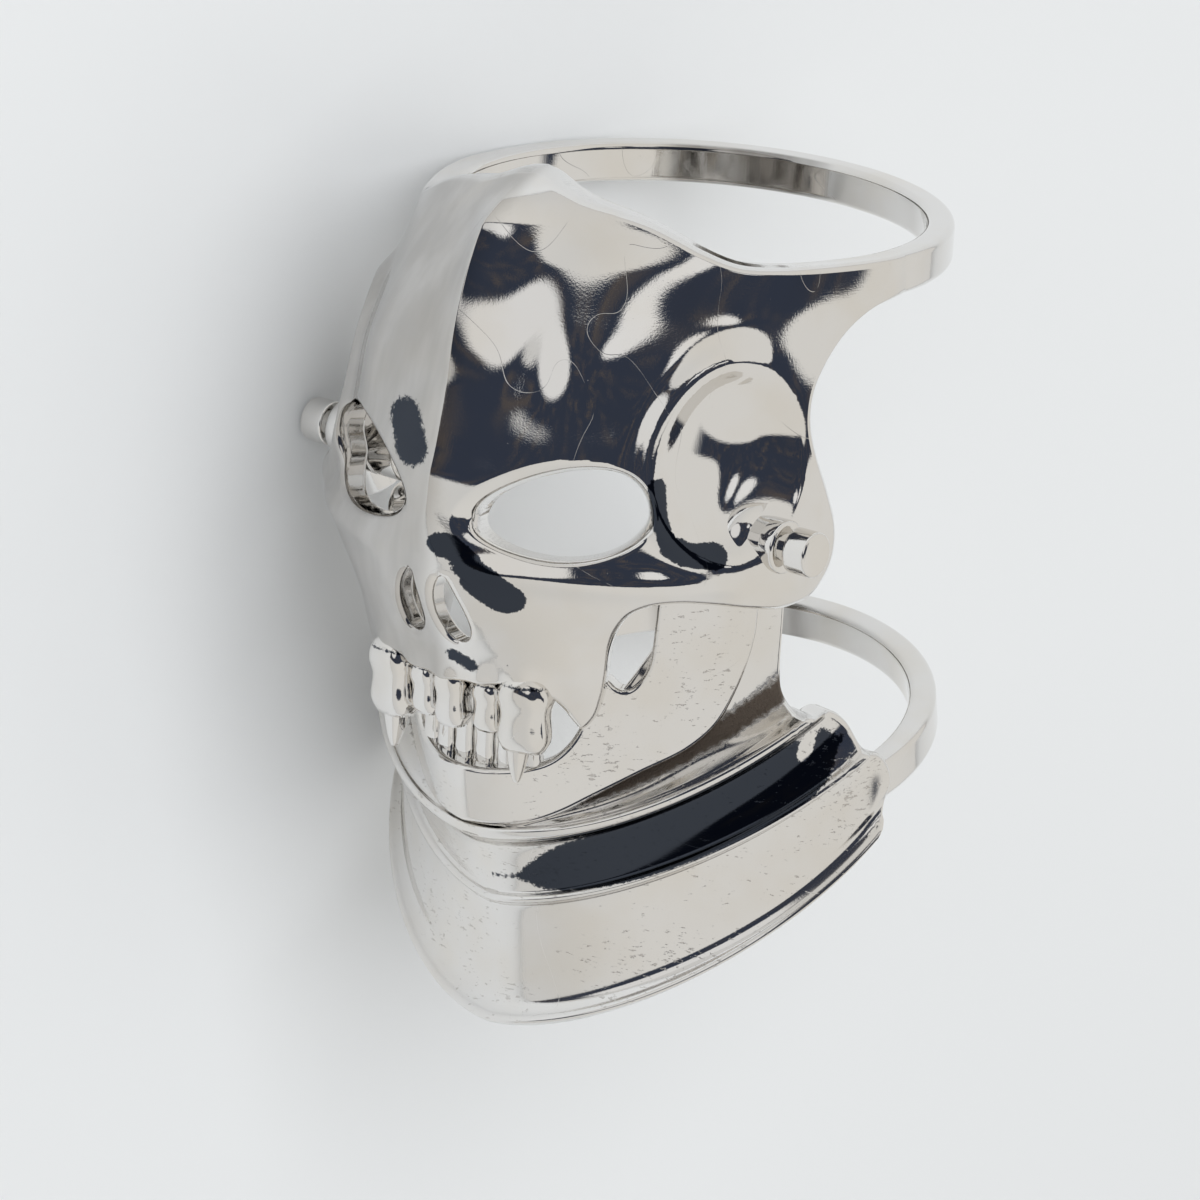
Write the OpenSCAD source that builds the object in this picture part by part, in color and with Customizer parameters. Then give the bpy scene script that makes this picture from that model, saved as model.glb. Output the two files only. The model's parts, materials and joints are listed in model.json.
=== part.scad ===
// Two-band articulated skull ring: a skull mask on the upper finger band, and a jaw with a
// two-tier throat collar on the lower finger band, joined by one rivet on each side.
// The parts are drawn standing up: the finger runs along Z, the face looks toward -Y and the
// wearer's left is +X. The last step lays the ring on its side, as it rests on a table.
// Angles are degrees round the finger from the middle of the face, and heights are
// millimetres from the upper band's top edge.

/* [Finger bands] */
// Inner radius of both finger bands
finger_r = 10; // [9.9:0.05:10.3]
// Radial thickness of both bands
band_t = 1.2; // [1.1:0.05:1.5]
// Width of both bands along the finger
band_h = 1.75; // [1.4:0.05:2.2]
// Drop from the upper band's top edge to the lower band's top edge
lower_drop = 22.5; // [22.2:0.1:23]
// How far the lower band sits behind the upper one
lower_back = 1.3; // [1.1:0.1:1.6]
// Tilt of the lower band, raised at the back
lower_tilt = 12; // [10:0.5:13]

/* [Mask] */
// Wall thickness of the mask
mask_t = 1.15; // [1:0.05:1.3]
// Greatest height of the crest down the middle of the forehead
crest_h = 2.3; // [1.2:0.1:2.5]
// Swell of the forehead beside the crest
forehead_h = 0.55; // [0:0.05:0.8]
// Swell of the cheekbone below the eye
cheek_h = 0.4; // [0:0.05:0.8]
// Depth of the hollow under the cheekbone
hollow_h = 0.4; // [0:0.05:0.6]
// Depth of the round bowl at the temple
bowl_h = 1.35; // [0.4:0.05:1.4]
// Height of the rolled rim in front of the temple bowl
bowl_rim_h = 0.5; // [0:0.05:0.6]
// Depth of the sloped margin round the eye
socket_h = 0.75; // [0:0.05:0.9]
// Height of the nose bridge
nose_h = 0.8; // [0:0.05:0.9]
// Swell over the roots of the upper teeth
root_h = 0.5; // [0:0.05:0.6]
// Swell of the lobe that carries the rivet
lobe_h = 0.95; // [0.8:0.05:1.1]

/* [Jaw and collar] */
// Wall thickness of the jaw
jaw_t = 1.2; // [1:0.05:1.4]
// Wall thickness of the throat behind the jawline
throat_t = 0.9; // [0.8:0.05:1.1]
// Wall thickness of the collar plates
collar_t = 1.25; // [1.2:0.05:1.5]

/* [Hinge] */
// Distance of the hinge axis in front of the finger axis
hinge_front = 8.1; // [7.9:0.05:8.3]
// Distance of the hinge axis below the upper band's top edge
hinge_down = 10.95; // [10.8:0.05:11.1]
// Radius of the rivet shaft
rivet_r = 0.6; // [0.45:0.05:0.7]
// Radius of the rivet head
head_r = 0.96; // [0.8:0.02:1]
// Distance of the rivet head's outer face from the middle of the ring
head_x = 13.4; // [13:0.05:13.5]
// Radial clearance of the rivet shaft
rivet_gap = 0.04; // [0.02:0.01:0.08]

/* [Hidden] */
head_t = 1.14;         // thickness of the rivet head
boss_x = 11.9;         // outer face of the mask's rivet boss
boss_r = 1.15;         // radius of that boss
boss_root_x = 10.4;    // where that boss starts, inside the mask's wall
seat_x = 9.3;          // inner face of the mask's rivet seat
seat_out_x = 10.6;     // where the seat ends, inside the mask's wall
seat_r = 1.6;          // radius of the two seats that face each other
ear_gap = 0.1;         // gap between the mask's seat and the jaw's
ear_in_x = 7.85;       // inner face of the jaw's seat
peen_t = 0.3;          // thickness of the rivet's inner head
peen_gap = 0.08;       // gap between the jaw's seat and the rivet's inner head
seat_room = 0.3;       // room round the jaw's seat inside the mask
seat_step = 0.06;      // how far that room stops short of the mask's seat
cut_over = 1;          // how far a drill runs past the faces it cuts
skin = 0.03;           // how far the mask's inner wall stays behind the finger hole's wall
fine = 48;             // sides of the rivets' and bosses' circles

// How the ring lies: turns that bring its three lowest points level, and the move that puts
// the middle of its underside at the origin
rest_roll = -13.17;
rest_pitch = -0.63;
rest_move = [-15.45, 2.16, 11.30];

// The waist, behind which the mask splits into the wing above and the hinge lobe below
waist_a = 62.2;
waist_lo = -13.75;
waist_up = -6.0;
// Where the wing meets the band
back_a = 90;

// Horizontal sections of the mask: height, front reach, half width, squareness
MASK = [
  [-23.0, 14.0, 11.0, 1.75], [-20.5, 14.4, 11.2, 1.80], [-18.5, 14.9, 11.4, 1.90],
  [-16.0, 15.9, 11.7, 2.00], [-14.0, 16.3, 11.9, 2.10], [-11.5, 16.5, 12.1, 2.10],
  [ -9.0, 16.5, 12.1, 2.05], [ -7.0, 16.1, 12.0, 2.00], [ -5.2, 15.7, 11.9, 1.95],
  [ -3.4, 15.2, 11.7, 1.85], [ -1.7, 14.5, 11.4, 1.75], [  0.0, 13.4, 11.25, 1.70],
  [  1.6, 12.0, 11.2, 1.65], [  3.6, 10.6, 11.2, 1.60]];

// Horizontal sections of the jaw: height, front reach, half width, squareness
JAW = [
  [-26.0, 13.0, 10.1, 1.52], [-24.5, 13.6, 10.2, 1.48], [-22.0, 14.0, 10.4, 1.55],
  [-19.0, 13.45, 10.4, 1.75], [-15.0, 14.1, 10.5, 2.00], [ -9.0, 14.5, 10.6, 2.10]];

// Lower edge of the mask from the middle to the waist: angle, height
MASK_LOWER = [
  [0, -17.9], [5, -17.8], [9, -17.7], [13, -17.6], [17, -17.9], [19.4, -18.5], [21, -19.1],
  [22.5, -19.5], [24.6, -19.0], [26.1, -17.9], [26.8, -16.8], [27.4, -15.6], [28.7, -14.6], [30.6, -13.85],
  [33.5, -13.45], [38, -13.3], [44, -13.45], [50, -13.7], [56, -13.9], [waist_a, waist_lo]];

// Top edge of the mask: angle, height
MASK_TOP = [
  [0, 3.35], [4, 3.2], [8, 2.85], [13, 2.45], [20, 2.15], [27, 1.8], [33, 1.35],
  [38.5, 0.85], [47, 0.25], [57, 0.08], [70, 0.05], [back_a, 0]];

// Hinge lobe behind the waist: lower edge and upper edge, angle and height
LOBE_LOWER = [[waist_a, waist_lo], [64.6, -13.45], [67.0, -12.85], [68.6, -12.0], [69.0, -11.6]];
LOBE_UPPER = [[waist_a, waist_up], [63.6, -7.6], [66.2, -9.1], [68.3, -10.4], [69.0, -11.3]];

// Wing behind the waist: lower edge, angle and height
WING_LOWER = [
  [waist_a, waist_up], [62.9, -5.0], [65.5, -4.0], [70, -3.0], [75.5, -2.3], [82, -1.85],
  [back_a, -band_h]];

// Upper edge of the jaw from the middle of the mouth to the hinge side: angle, height
JAW_UPPER = [
  [0, -21.95], [4, -21.95], [8, -21.85], [12, -21.65], [15.5, -21.3], [18.3, -20.7],
  [20.4, -19.9], [21.5, -19.0], [22.4, -18.1], [23.8, -17.5], [25.6, -17.6], [27.5, -18.0],
  [29.5, -18.05], [31.8, -17.65], [33.4, -16.95], [34.0, -16.0], [34.3, -14.9], [34.9, -13.6], [37, -13.0], [42, -12.8],
  [48, -12.8], [53, -13.1], [56.3, -13.9]];

// Jawline: angle, height
JAWLINE = [
  [0, -24.6], [8.7, -24.5], [13.6, -24.25], [18.1, -23.8], [24.5, -22.95], [33.3, -21.9],
  [43.2, -20.9], [49.5, -19.8], [53.5, -18.2], [55.6, -16.6], [56.3, -15.6]];

// Sections of the throat and collar, from the top down, on the outside: front reach,
// half width, squareness, height at the front, height beside the finger, extra wall,
// angle at which the section ends beside the finger, and how many degrees further round it
// goes on the wearer's left
COLLAR = [
  [12.9,  9.85, 2.00, -23.0,   3.6, 0.0, 54, 0],
  [12.8,  9.85, 1.75, -23.6,  -9.0, 0.0, 66, 0],
  [12.6, 10.4, 1.62, -24.4, -15.3, 0.0, 66, 0],
  [12.9, 11.5, 1.80, -24.7, -16.2, 0.25, 66.5, 0],
  [13.0, 12.0, 1.85, -24.9, -16.3, 0.35, 68, 0],
  [12.9, 12.05, 1.82, -25.3, -16.7, 0.3, 70, 0],
  [12.1, 11.7, 1.65, -25.9, -17.4, 0.1, 73, 2.5],
  [11.5, 11.8, 1.60, -27.0, -18.5, 0.0, 76, 4],
  [11.1, 12.4, 1.60, -28.1, -19.5, 0.1, 77.5, 4],
  [11.25, 12.75, 1.60, -28.5, -19.9, 0.3, 78.5, 3.5],
  [10.95, 12.5, 1.60, -28.9, -20.3, 0.1, 81, 3],
  [10.7, 12.27, 1.62, -30.0, -21.3, 0.0, 84, 4],
  [10.5, 12.3, 1.64, -32.4, -23.0, 0.0, 85, 6],
  [10.5, 12.2, 1.66, -33.3, -23.7, 0.0, 83, 7],
  [10.95, 12.55, 1.66, -34.0, -24.25, 0.3, 80, 7.5],
  [10.8, 12.45, 1.66, -34.3, -24.5, 0.2, 79, 7]];

// Eye opening and nostril: angle and height of the centre, half width (degrees),
// half height above and below the centre, taper, lean
EYE = [19.6, -9.95, 12.8, 1.97, 1.65, 0.2, 0.45];
NOSTRIL = [3.6, -14.4, 2.3, 1.5, 1.5, 0.35, -0.7];

// Upper teeth: angle, top height, bottom height, width, outer radius, depth
UPPER_TEETH = [
  [0, -17.2, -20.05, 1.55, 15.45, 1.9], [6.6, -17.5, -20.0, 1.45, 15.1, 1.8],
  [13.7, -16.9, -20.45, 2.35, 15.6, 2.2]];
// Fang below each upper canine: angle, top height, bottom height, width, outer radius, depth
FANG = [12.9, -19.3, -21.85, 1.15, 15.15, 1.1];
// Lower teeth: angle, top height, bottom height, width, outer radius, depth
LOWER_TEETH = [
  [2.4, -19.3, -22.2, 1.0, 13.3, 0.95], [7.1, -19.35, -22.2, 1.0, 13.25, 0.95],
  [11.8, -19.5, -22.1, 1.05, 13.1, 0.95]];
// Shape of a tooth down its length: share of its height, of its width and of its depth
CROWN = [
  [0, 0.35, 0.4], [0.12, 0.8, 0.85], [0.32, 1, 1], [0.55, 0.88, 0.8], [0.85, 0.95, 0.78], [1, 0.75, 0.55]];
SPIKE = [[0, 0.9, 1], [0.35, 0.85, 0.95], [0.8, 0.5, 0.6], [1, 0.22, 0.3]];

// Soft swells (and hollows) of the mask: angle, height, half width (degrees), half height, rise
SWELLS = [
  [19, -4.2, 10, 3, forehead_h],       // brow
  [40, -12.9, 17, 1.6, cheek_h],       // cheekbone
  [55, -11.4, 9.5, 2.6, lobe_h],       // hinge lobe
  [33, -15.8, 11, 1.6, -hollow_h],     // hollow under the cheekbone
  [0, -18.2, 3, 1, root_h],            // roots of the upper teeth
  [6.6, -18.3, 2.8, 1, root_h],
  [14, -17.9, 3.4, 0.9, root_h]];
// Crest down the middle of the forehead: height, share of its rise
CREST = [
  [-12.5, 0], [-11, 0.13], [-9.2, 0.26], [-7.5, 0.24], [-5, 0.26], [-3.4, 0.37], [-1.7, 0.52],
  [0.1, 0.78], [1.5, 1], [2.2, 0.83], [2.7, 0.52], [3.1, 0.17], [3.4, -0.09]];
// Reach of the crest's flanks (degrees) and sharpness of its fold
CREST_FLANK = [7.5, 1.05];
// Bridge of the nose: height, share of its rise, half width (degrees)
NOSE = [
  [-16.4, 0, 9], [-15.4, 0.31, 10], [-14.4, 0.75, 11], [-13.4, 1, 11], [-12.2, 0.81, 8.5],
  [-11, 0.56, 5.5], [-9.8, 0.13, 4], [-9.2, 0, 4]];
// Bowl at the temple: angle, height, half width, half height, millimetres a degree, roundness
// of its edge, place and width of the rolled rim as shares of the bowl, angle where the rim
// ends and over how many degrees it fades
BOWL = [46.5, -7.2, 2.95, 4.0, 0.215, 0.12, 1.02, 0.2, 54, 10];
// Margin of the eye: height of the lower lid, how it fades, width as a share of the opening
LID = [-11.3, 1.4, 0.42];
// Thickening of the mask's wall toward its top edge: share, height where it starts, over which
TOP_WALL = [0.25, -2, 3];

// Curves

// Row of a table at or before x
function row_at(t, x, i = 0) = (i >= len(t) - 2 || x < t[i + 1][0]) ? i : row_at(t, x, i + 1);
// Slope of column k at row j
function slope(t, k, j) = let (p = max(j - 1, 0), q = min(j + 1, len(t) - 1))
  (t[q][k] - t[p][k]) / (t[q][0] - t[p][0]);
// Smooth value of column k at x
function smooth_at(t, k, x0) = let (
    x = min(max(x0, t[0][0]), t[len(t) - 1][0]), i = row_at(t, x), h = t[i + 1][0] - t[i][0],
    u = (x - t[i][0]) / h, v = u * u, w = v * u)
  (2 * w - 3 * v + 1) * t[i][k] + (w - 2 * v + u) * slope(t, k, i) * h
  + (3 * v - 2 * w) * t[i + 1][k] + (w - v) * slope(t, k, i + 1) * h;
// Smooth open curve through the points of a table, m steps a row
function curve(t, m) = concat([for (i = [0 : len(t) - 2]) for (j = [0 : m - 1]) let (
    u = j / m, a = t[max(i - 1, 0)], b = t[i], c = t[i + 1], d = t[min(i + 2, len(t) - 1)])
  0.5 * (2 * b + (c - a) * u + (2 * a - 5 * b + 4 * c - d) * u * u + (3 * b - a - 3 * c + d) * u * u * u)],
  [t[len(t) - 1]]);
// Soft step from 0 to 1
function step01(x) = let (u = min(max(x, 0), 1)) u * u * (3 - 2 * u);
// Soft round hill
function hill(u, v) = exp(-(u * u + v * v));
function mirrored(t) = [for (i = [len(t) - 1 : -1 : 1]) [-t[i][0], t[i][1]]];

// Surfaces

// Radius of an oval section with the given front reach, half width and squareness
function oval(a, reach, half, sq) =
  pow(pow(abs(sin(a)) / half, sq) + pow(max(abs(cos(a)), 1e-5) / reach, sq), -1 / sq);
function section(t, a, z) = oval(a, smooth_at(t, 1, z), smooth_at(t, 2, z), smooth_at(t, 3, z));
// Distance-like value round an opening: 1 on its edge
function opening_value(o, a, z) = let (
    u = (a - o[0]) / o[2], rise = z - o[1] - o[6] * u,
    v = rise / ((rise > 0 ? o[3] : o[4]) * (1 + o[5] * u)))
  sqrt(u * u + v * v);
function sum(v, i = 0) = i == len(v) ? 0 : v[i] + sum(v, i + 1);
function swells(a, z) = sum([for (s = SWELLS) s[4] * hill((a - s[0]) / s[2], (z - s[1]) / s[3])]);
function crest(a, z) = crest_h * smooth_at(CREST, 1, z) * exp(-pow(a / CREST_FLANK[0], CREST_FLANK[1]));
function nose(a, z) = nose_h * smooth_at(NOSE, 1, z) * exp(-pow(a / smooth_at(NOSE, 2, z), 2));
function bowl(a, z) = let (
    r = norm([(a - BOWL[0]) * BOWL[4] / BOWL[2], (z - BOWL[1]) / BOWL[3]]), dish = 1 - r * r, e = BOWL[5])
  -bowl_h * (dish + sqrt(dish * dish + e * e) - e) / 2
  + bowl_rim_h * exp(-pow((r - BOWL[6]) / BOWL[7], 2)) * step01((BOWL[8] - a) / BOWL[9]);
function socket(a, z) =
  -socket_h * step01((z - LID[0]) / LID[1]) * step01(1 - (opening_value(EYE, a, z) - 1) / LID[2]);
// Height of the carved details above the plain oval
function relief(a, z) = swells(a, z) + crest(a, z) + nose(a, z) + bowl(a, z) + socket(a, z);
function mask_r(a, z) = section(MASK, a, z) + relief(abs(a), z);
function mask_in_r(a, z) =
  max(mask_r(a, z) - mask_t * (1 + TOP_WALL[0] * step01((z - TOP_WALL[1]) / TOP_WALL[2])), finger_r + skin);
function jaw_r(a, z) = section(JAW, a, z);
function jaw_in_r(a, z) = jaw_r(a, z) - jaw_t;
function polar(r, a, z) = [r * sin(a), -r * cos(a), z];

// Sheets turned into solids: an outer and an inner skin of n points each

// Two triangles of a cell; flip turns them inside out
function cell(p, q, r, s, flip) = flip ? [[p, r, q], [p, s, r]] : [[p, q, r], [p, r, s]];
// Both skins of a patch of m columns, rows j0 to j1, whose point (i, j) has the number id(i, j)
function skins(n, id, m, j0, j1, flip) = [for (i = [0 : m - 1]) for (j = [j0 : j1 - 1])
  let (p = id(i, j), q = id(i, j + 1), r = id(i + 1, j + 1), s = id(i + 1, j))
    each concat(cell(p, q, r, s, flip), cell(n + p, n + q, n + r, n + s, !flip))];
// Wall between the skins along an edge whose point k has the number id(k)
function wall(n, id, k0, k1, flip) = [for (k = [k0 : k1 - 1])
  each cell(id(k), id(k + 1), n + id(k + 1), n + id(k), flip)];

// The mask's sheet: the middle patch, and on each side a wing patch and a lobe patch that
// share its last column. nm, nw, nl are the column counts and ns, nk the row counts.
MASK_EDGE = curve(MASK_LOWER, 2);
nm = 2 * (len(MASK_EDGE) - 1);
// Rows of the middle patch as shares of its height; row nk meets the waist
ROW_SHARE = [
  0, 0.07, 0.14, 0.195, 0.24, 0.272, 0.301, 0.329, 0.357, 0.386, 0.414, 0.442, 0.47, 0.499, 0.527, 0.556,
  0.605, 0.66, 0.725, 0.79, 0.85, 0.905, 0.955, 1];
ns = len(ROW_SHARE) - 1;
nk = 15;
wing_lo = curve(WING_LOWER, 1);
nw = len(wing_lo) - 1;
lobe_lo = curve(LOBE_LOWER, 1);
lobe_up = curve(LOBE_UPPER, 1);
nl = len(lobe_lo) - 1;
mask_lo = concat(mirrored(MASK_EDGE), MASK_EDGE);
function top_z(a) = smooth_at(MASK_TOP, 1, abs(a));
// Height of row j of the middle patch in a column with the given ends
waist_share = ROW_SHARE[nk];
function row_share(j, lo) = j <= nk ? ROW_SHARE[j] / waist_share * lo
  : lo + (ROW_SHARE[j] - waist_share) / (1 - waist_share) * (1 - lo);
function mid_share(a) = let (w = (waist_up - waist_lo) / (top_z(waist_a) - waist_lo))
  waist_share + (w - waist_share) * abs(a) / waist_a;
function mid_point(i, j) = let (p = mask_lo[i], s = row_share(j, mid_share(p[0])))
  [p[0], p[1] + (top_z(p[0]) - p[1]) * s];
function wing_point(i, j, side) = let (
    b = wing_lo[i], s = (j - nk) / (ns - nk), a1 = waist_a + (back_a - waist_a) * i / nw)
  [side * (b[0] + (a1 - b[0]) * s), b[1] + (top_z(a1) - b[1]) * s];
function lobe_point(i, j, side) = let (b = lobe_lo[i], u = lobe_up[i], s = j / nk)
  [side * (b[0] + (u[0] - b[0]) * s), b[1] + (u[1] - b[1]) * s];
mid_n = (nm + 1) * (ns + 1);
wing_n = nw * (ns - nk + 1);
lobe_n = nl * (nk + 1);
sheet_n = mid_n + 2 * wing_n + 2 * lobe_n;
function mid_id(i, j) = i * (ns + 1) + j;
function wing_id(i, j, side) = i == 0 ? mid_id(side > 0 ? nm : 0, j)
  : mid_n + (side > 0 ? 0 : wing_n) + (i - 1) * (ns - nk + 1) + (j - nk);
function lobe_id(i, j, side) = i == 0 ? mid_id(side > 0 ? nm : 0, j)
  : mid_n + 2 * wing_n + (side > 0 ? 0 : lobe_n) + (i - 1) * (nk + 1) + j;
mask_sheet = concat(
  [for (i = [0 : nm]) for (j = [0 : ns]) mid_point(i, j)],
  [for (side = [1, -1]) for (i = [1 : nw]) for (j = [nk : ns]) wing_point(i, j, side)],
  [for (side = [1, -1]) for (i = [1 : nl]) for (j = [0 : nk]) lobe_point(i, j, side)]);

module mask_shell() {
  n = sheet_n;
  faces = concat(
    skins(n, function (i, j) mid_id(i, j), nm, 0, ns, false),
    wall(n, function (i) mid_id(i, 0), 0, nm, false),
    wall(n, function (i) mid_id(i, ns), 0, nm, true),
    [for (side = [1, -1]) let (
        flip = side < 0,
        wing = function (i, j) wing_id(i, j, side),
        lobe = function (i, j) lobe_id(i, j, side))
      each concat(
        skins(n, wing, nw, nk, ns, flip),
        wall(n, function (i) wing(i, nk), 0, nw, flip),
        wall(n, function (i) wing(i, ns), 0, nw, !flip),
        wall(n, function (j) wing(nw, j), nk, ns, flip),
        skins(n, lobe, nl, 0, nk, flip),
        wall(n, function (i) lobe(i, 0), 0, nl, flip),
        wall(n, function (i) lobe(i, nk), 0, nl, !flip),
        wall(n, function (j) lobe(nl, j), 0, nk, flip))]);
  polyhedron(concat([for (p = mask_sheet) polar(mask_r(p[0], p[1]), p[0], p[1])],
                    [for (p = mask_sheet) polar(mask_in_r(p[0], p[1]), p[0], p[1])]),
             faces, convexity = 8);
}

// Solid between two skins of m + 1 columns and rows + 1 rows
module strip(m, rows, outer, inner) {
  n = len(outer);
  id = function (i, j) i * (rows + 1) + j;
  polyhedron(concat(outer, inner), concat(
    skins(n, id, m, 0, rows, false),
    wall(n, function (i) id(i, 0), 0, m, false),
    wall(n, function (i) id(i, rows), 0, m, true),
    wall(n, function (j) id(0, j), 0, rows, true),
    wall(n, function (j) id(m, j), 0, rows, false)), convexity = 8);
}

module jaw_shell() {
  edge = curve(JAW_UPPER, 2);
  upper = concat(mirrored(edge), edge);
  rows = 4;
  sheet = [for (p = upper) let (low = [p[0], smooth_at(JAWLINE, 1, abs(p[0]))])
    for (j = [0 : rows]) low + (p - low) * j / rows];
  strip(len(upper) - 1, rows, [for (p = sheet) polar(jaw_r(p[0], p[1]), p[0], p[1])],
        [for (p = sheet) polar(jaw_in_r(p[0], p[1]), p[0], p[1])]);
}

// Throat and collar in one sweep round the finger: point of a row at an angle, set in from
// the outer face
function collar_point(row, a, inset) = let (
    c = COLLAR[row], r = oval(a, c[0], c[1], c[2]), share = r * cos(a) / c[0])
  polar(r - inset, a, c[4] + (c[3] - c[4]) * share);
module collar_shell() {
  m = 36;
  throat_rows = 3;
  rows = len(COLLAR) - 1;
  // Every point's angle and row, from the lowest row of each column up
  sheet = [for (i = [0 : m]) for (j = [0 : rows]) let (c = COLLAR[rows - j])
    [(2 * c[6] + c[7]) * i / m - c[6], rows - j]];
  function wall_at(row) = (row < throat_rows ? throat_t : collar_t) + COLLAR[row][5];
  strip(m, rows, [for (p = sheet) collar_point(p[1], p[0], 0)],
        [for (p = sheet) collar_point(p[1], p[0], wall_at(p[1]))]);
}

// One tooth: a rounded block swept down from its root
module tooth(t, shape) {
  sides = 10;
  blockiness = 0.7;
  top = t[1];
  length = t[1] - t[2];
  half_width = t[3] / 2;
  half_depth = t[5] / 2;
  m = len(shape) - 1;
  function blocky(v) = sign(v) * pow(abs(v), blockiness);
  function ring(k) = [for (i = [0 : sides - 1]) let (a = 360 * i / sides)
    [half_width * shape[k][1] * blocky(cos(a)),
     half_depth * shape[k][2] * blocky(sin(a)) - t[4] + half_depth,
     top - length * shape[k][0]]];
  faces = concat(
    [for (k = [0 : m - 1]) for (i = [0 : sides - 1]) let (j = (i + 1) % sides)
      each cell(k * sides + i, k * sides + j, (k + 1) * sides + j, (k + 1) * sides + i, false)],
    [[for (i = [sides - 1 : -1 : 0]) i]], [[for (i = [0 : sides - 1]) m * sides + i]]);
  rotate([0, 0, t[0]]) polyhedron([for (k = [0 : m]) each ring(k)], faces, convexity = 2);
}

// Straight cutter through the mask's wall: an eye's pear shape, or with slanted set a nostril's
module opening(o, slanted) {
  steps = 28;
  start = 6;
  reach = 24;
  function edge(k) = let (u = cos(360 * k / steps), v = sin(360 * k / steps))
    slanted ? [o[0] + o[2] * u * (1 - o[5] * v) + o[6] * v, o[1] + o[3] * v]
    : [o[0] + o[2] * u, o[1] + (v > 0 ? o[3] : o[4]) * v * (1 + o[5] * u) + o[6] * u];
  rotate([0, 0, o[0]]) rotate([90, 0, 0]) translate([0, 0, start]) linear_extrude(reach)
    polygon([for (k = [0 : steps - 1]) let (p = edge(k)) [mask_r(p[0], p[1]) * sin(p[0] - o[0]), p[1]]]);
}

module band() {
  rotate_extrude($fn = 96) translate([finger_r, -band_h]) square([band_t, band_h]);
}

// Round bar along the hinge axis from x0 to x1
module across(x0, x1, r) {
  translate([x0, -hinge_front, -hinge_down]) rotate([0, 90, 0]) cylinder(r = r, h = x1 - x0, $fn = fine);
}

module side_pair() {
  children();
  mirror([1, 0, 0]) children();
}

// The parts

module lay_down() {
  translate(rest_move) rotate([rest_roll, rest_pitch, 0]) rotate([0, -90, 0]) children();
}

module skull_mask() {
  color([0.86, 0.86, 0.85]) difference() {
    union() {
      difference() {
        mask_shell();
        side_pair() {
          opening(EYE, false);
          opening(NOSTRIL, true);
        }
      }
      band();
      tooth(UPPER_TEETH[0], CROWN);
      side_pair() {
        tooth(UPPER_TEETH[1], CROWN);
        tooth(UPPER_TEETH[2], CROWN);
        tooth(FANG, SPIKE);
        across(boss_root_x, boss_x, boss_r);
        across(seat_x, seat_out_x, seat_r);
      }
    }
    side_pair() {
      across(seat_x - cut_over, boss_x + cut_over, rivet_r + rivet_gap);
      across(ear_in_x, seat_x - seat_step, seat_r + seat_room);
    }
  }
}

module jaw_collar() {
  color([0.80, 0.80, 0.79]) difference() {
    union() {
      jaw_shell();
      collar_shell();
      translate([0, lower_back, -lower_drop]) rotate([lower_tilt, 0, 0]) band();
      side_pair() {
        for (t = LOWER_TEETH) tooth(t, CROWN);
        across(ear_in_x, seat_x - ear_gap, seat_r);
      }
    }
    side_pair() across(ear_in_x - cut_over, seat_x + cut_over, rivet_r + rivet_gap);
  }
}

module hinge_rivet() {
  color([0.9, 0.9, 0.89]) union() {
    across(head_x - head_t, head_x, head_r);
    across(ear_in_x - peen_gap - peen_t / 2, head_x - head_t / 2, rivet_r);
    across(ear_in_x - peen_gap - peen_t, ear_in_x - peen_gap, head_r);
  }
}

lay_down() skull_mask();
lay_down() jaw_collar();
lay_down() hinge_rivet();  // hinge_rivet_left
lay_down() mirror([1, 0, 0]) hinge_rivet();  // hinge_rivet_right
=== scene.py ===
"""Looks of a silver skull ring on two finger bands: mask, teeth, hinged jaw, collar and rivets."""

import json
import math

import bpy
import numpy as np
from bpy.props import FloatProperty, FloatVectorProperty, IntProperty, PointerProperty
from mathutils import Matrix, Vector
from mathutils.geometry import delaunay_2d_cdt


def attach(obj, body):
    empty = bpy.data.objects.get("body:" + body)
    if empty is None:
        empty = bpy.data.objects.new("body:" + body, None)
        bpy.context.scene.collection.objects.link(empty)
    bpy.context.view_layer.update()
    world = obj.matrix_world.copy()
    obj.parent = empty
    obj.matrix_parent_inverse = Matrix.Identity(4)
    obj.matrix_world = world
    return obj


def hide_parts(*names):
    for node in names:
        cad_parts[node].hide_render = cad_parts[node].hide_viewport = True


bl_info = {
    "name": "Silver skull ring",
    "version": (1, 0, 0),
    "blender": (4, 5, 0),
    "location": "3D View > Sidebar > Skull ring",
    "description": "Builds the polished silver pieces of a hinged two-band skull ring around its solids",
    "category": "Object",
}

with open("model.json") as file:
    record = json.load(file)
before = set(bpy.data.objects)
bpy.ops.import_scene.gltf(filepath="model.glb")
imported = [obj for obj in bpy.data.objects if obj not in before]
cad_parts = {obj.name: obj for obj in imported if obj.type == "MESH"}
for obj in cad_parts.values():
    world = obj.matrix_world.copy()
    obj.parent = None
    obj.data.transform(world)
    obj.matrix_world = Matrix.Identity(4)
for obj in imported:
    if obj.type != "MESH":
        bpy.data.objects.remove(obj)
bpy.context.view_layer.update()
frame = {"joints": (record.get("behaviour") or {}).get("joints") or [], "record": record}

# Sizes of the ring in millimetres and degrees. It is drawn standing up: the finger runs along
# Z, the face looks toward -Y, and height 0 is the upper band's top edge.
MM = 0.001
FINGER_R = 10.0
BAND_T = 1.2
BAND_H = 1.75
LOWER_DROP = 22.5       # the lower band's place and tilt against the upper one
LOWER_BACK = 1.3
LOWER_TILT = 12.0
MASK_T = 1.15
JAW_T = 1.2
THROAT_T = 0.9
COLLAR_T = 1.25
HINGE_FRONT = 8.1       # the hinge axis lies this far in front of the finger's middle
HINGE_DOWN = 10.95
DEG_MM = 0.215          # millimetres round the face for one degree
TUCK_A = 99.0           # the wings run on inside the band to this angle

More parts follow.
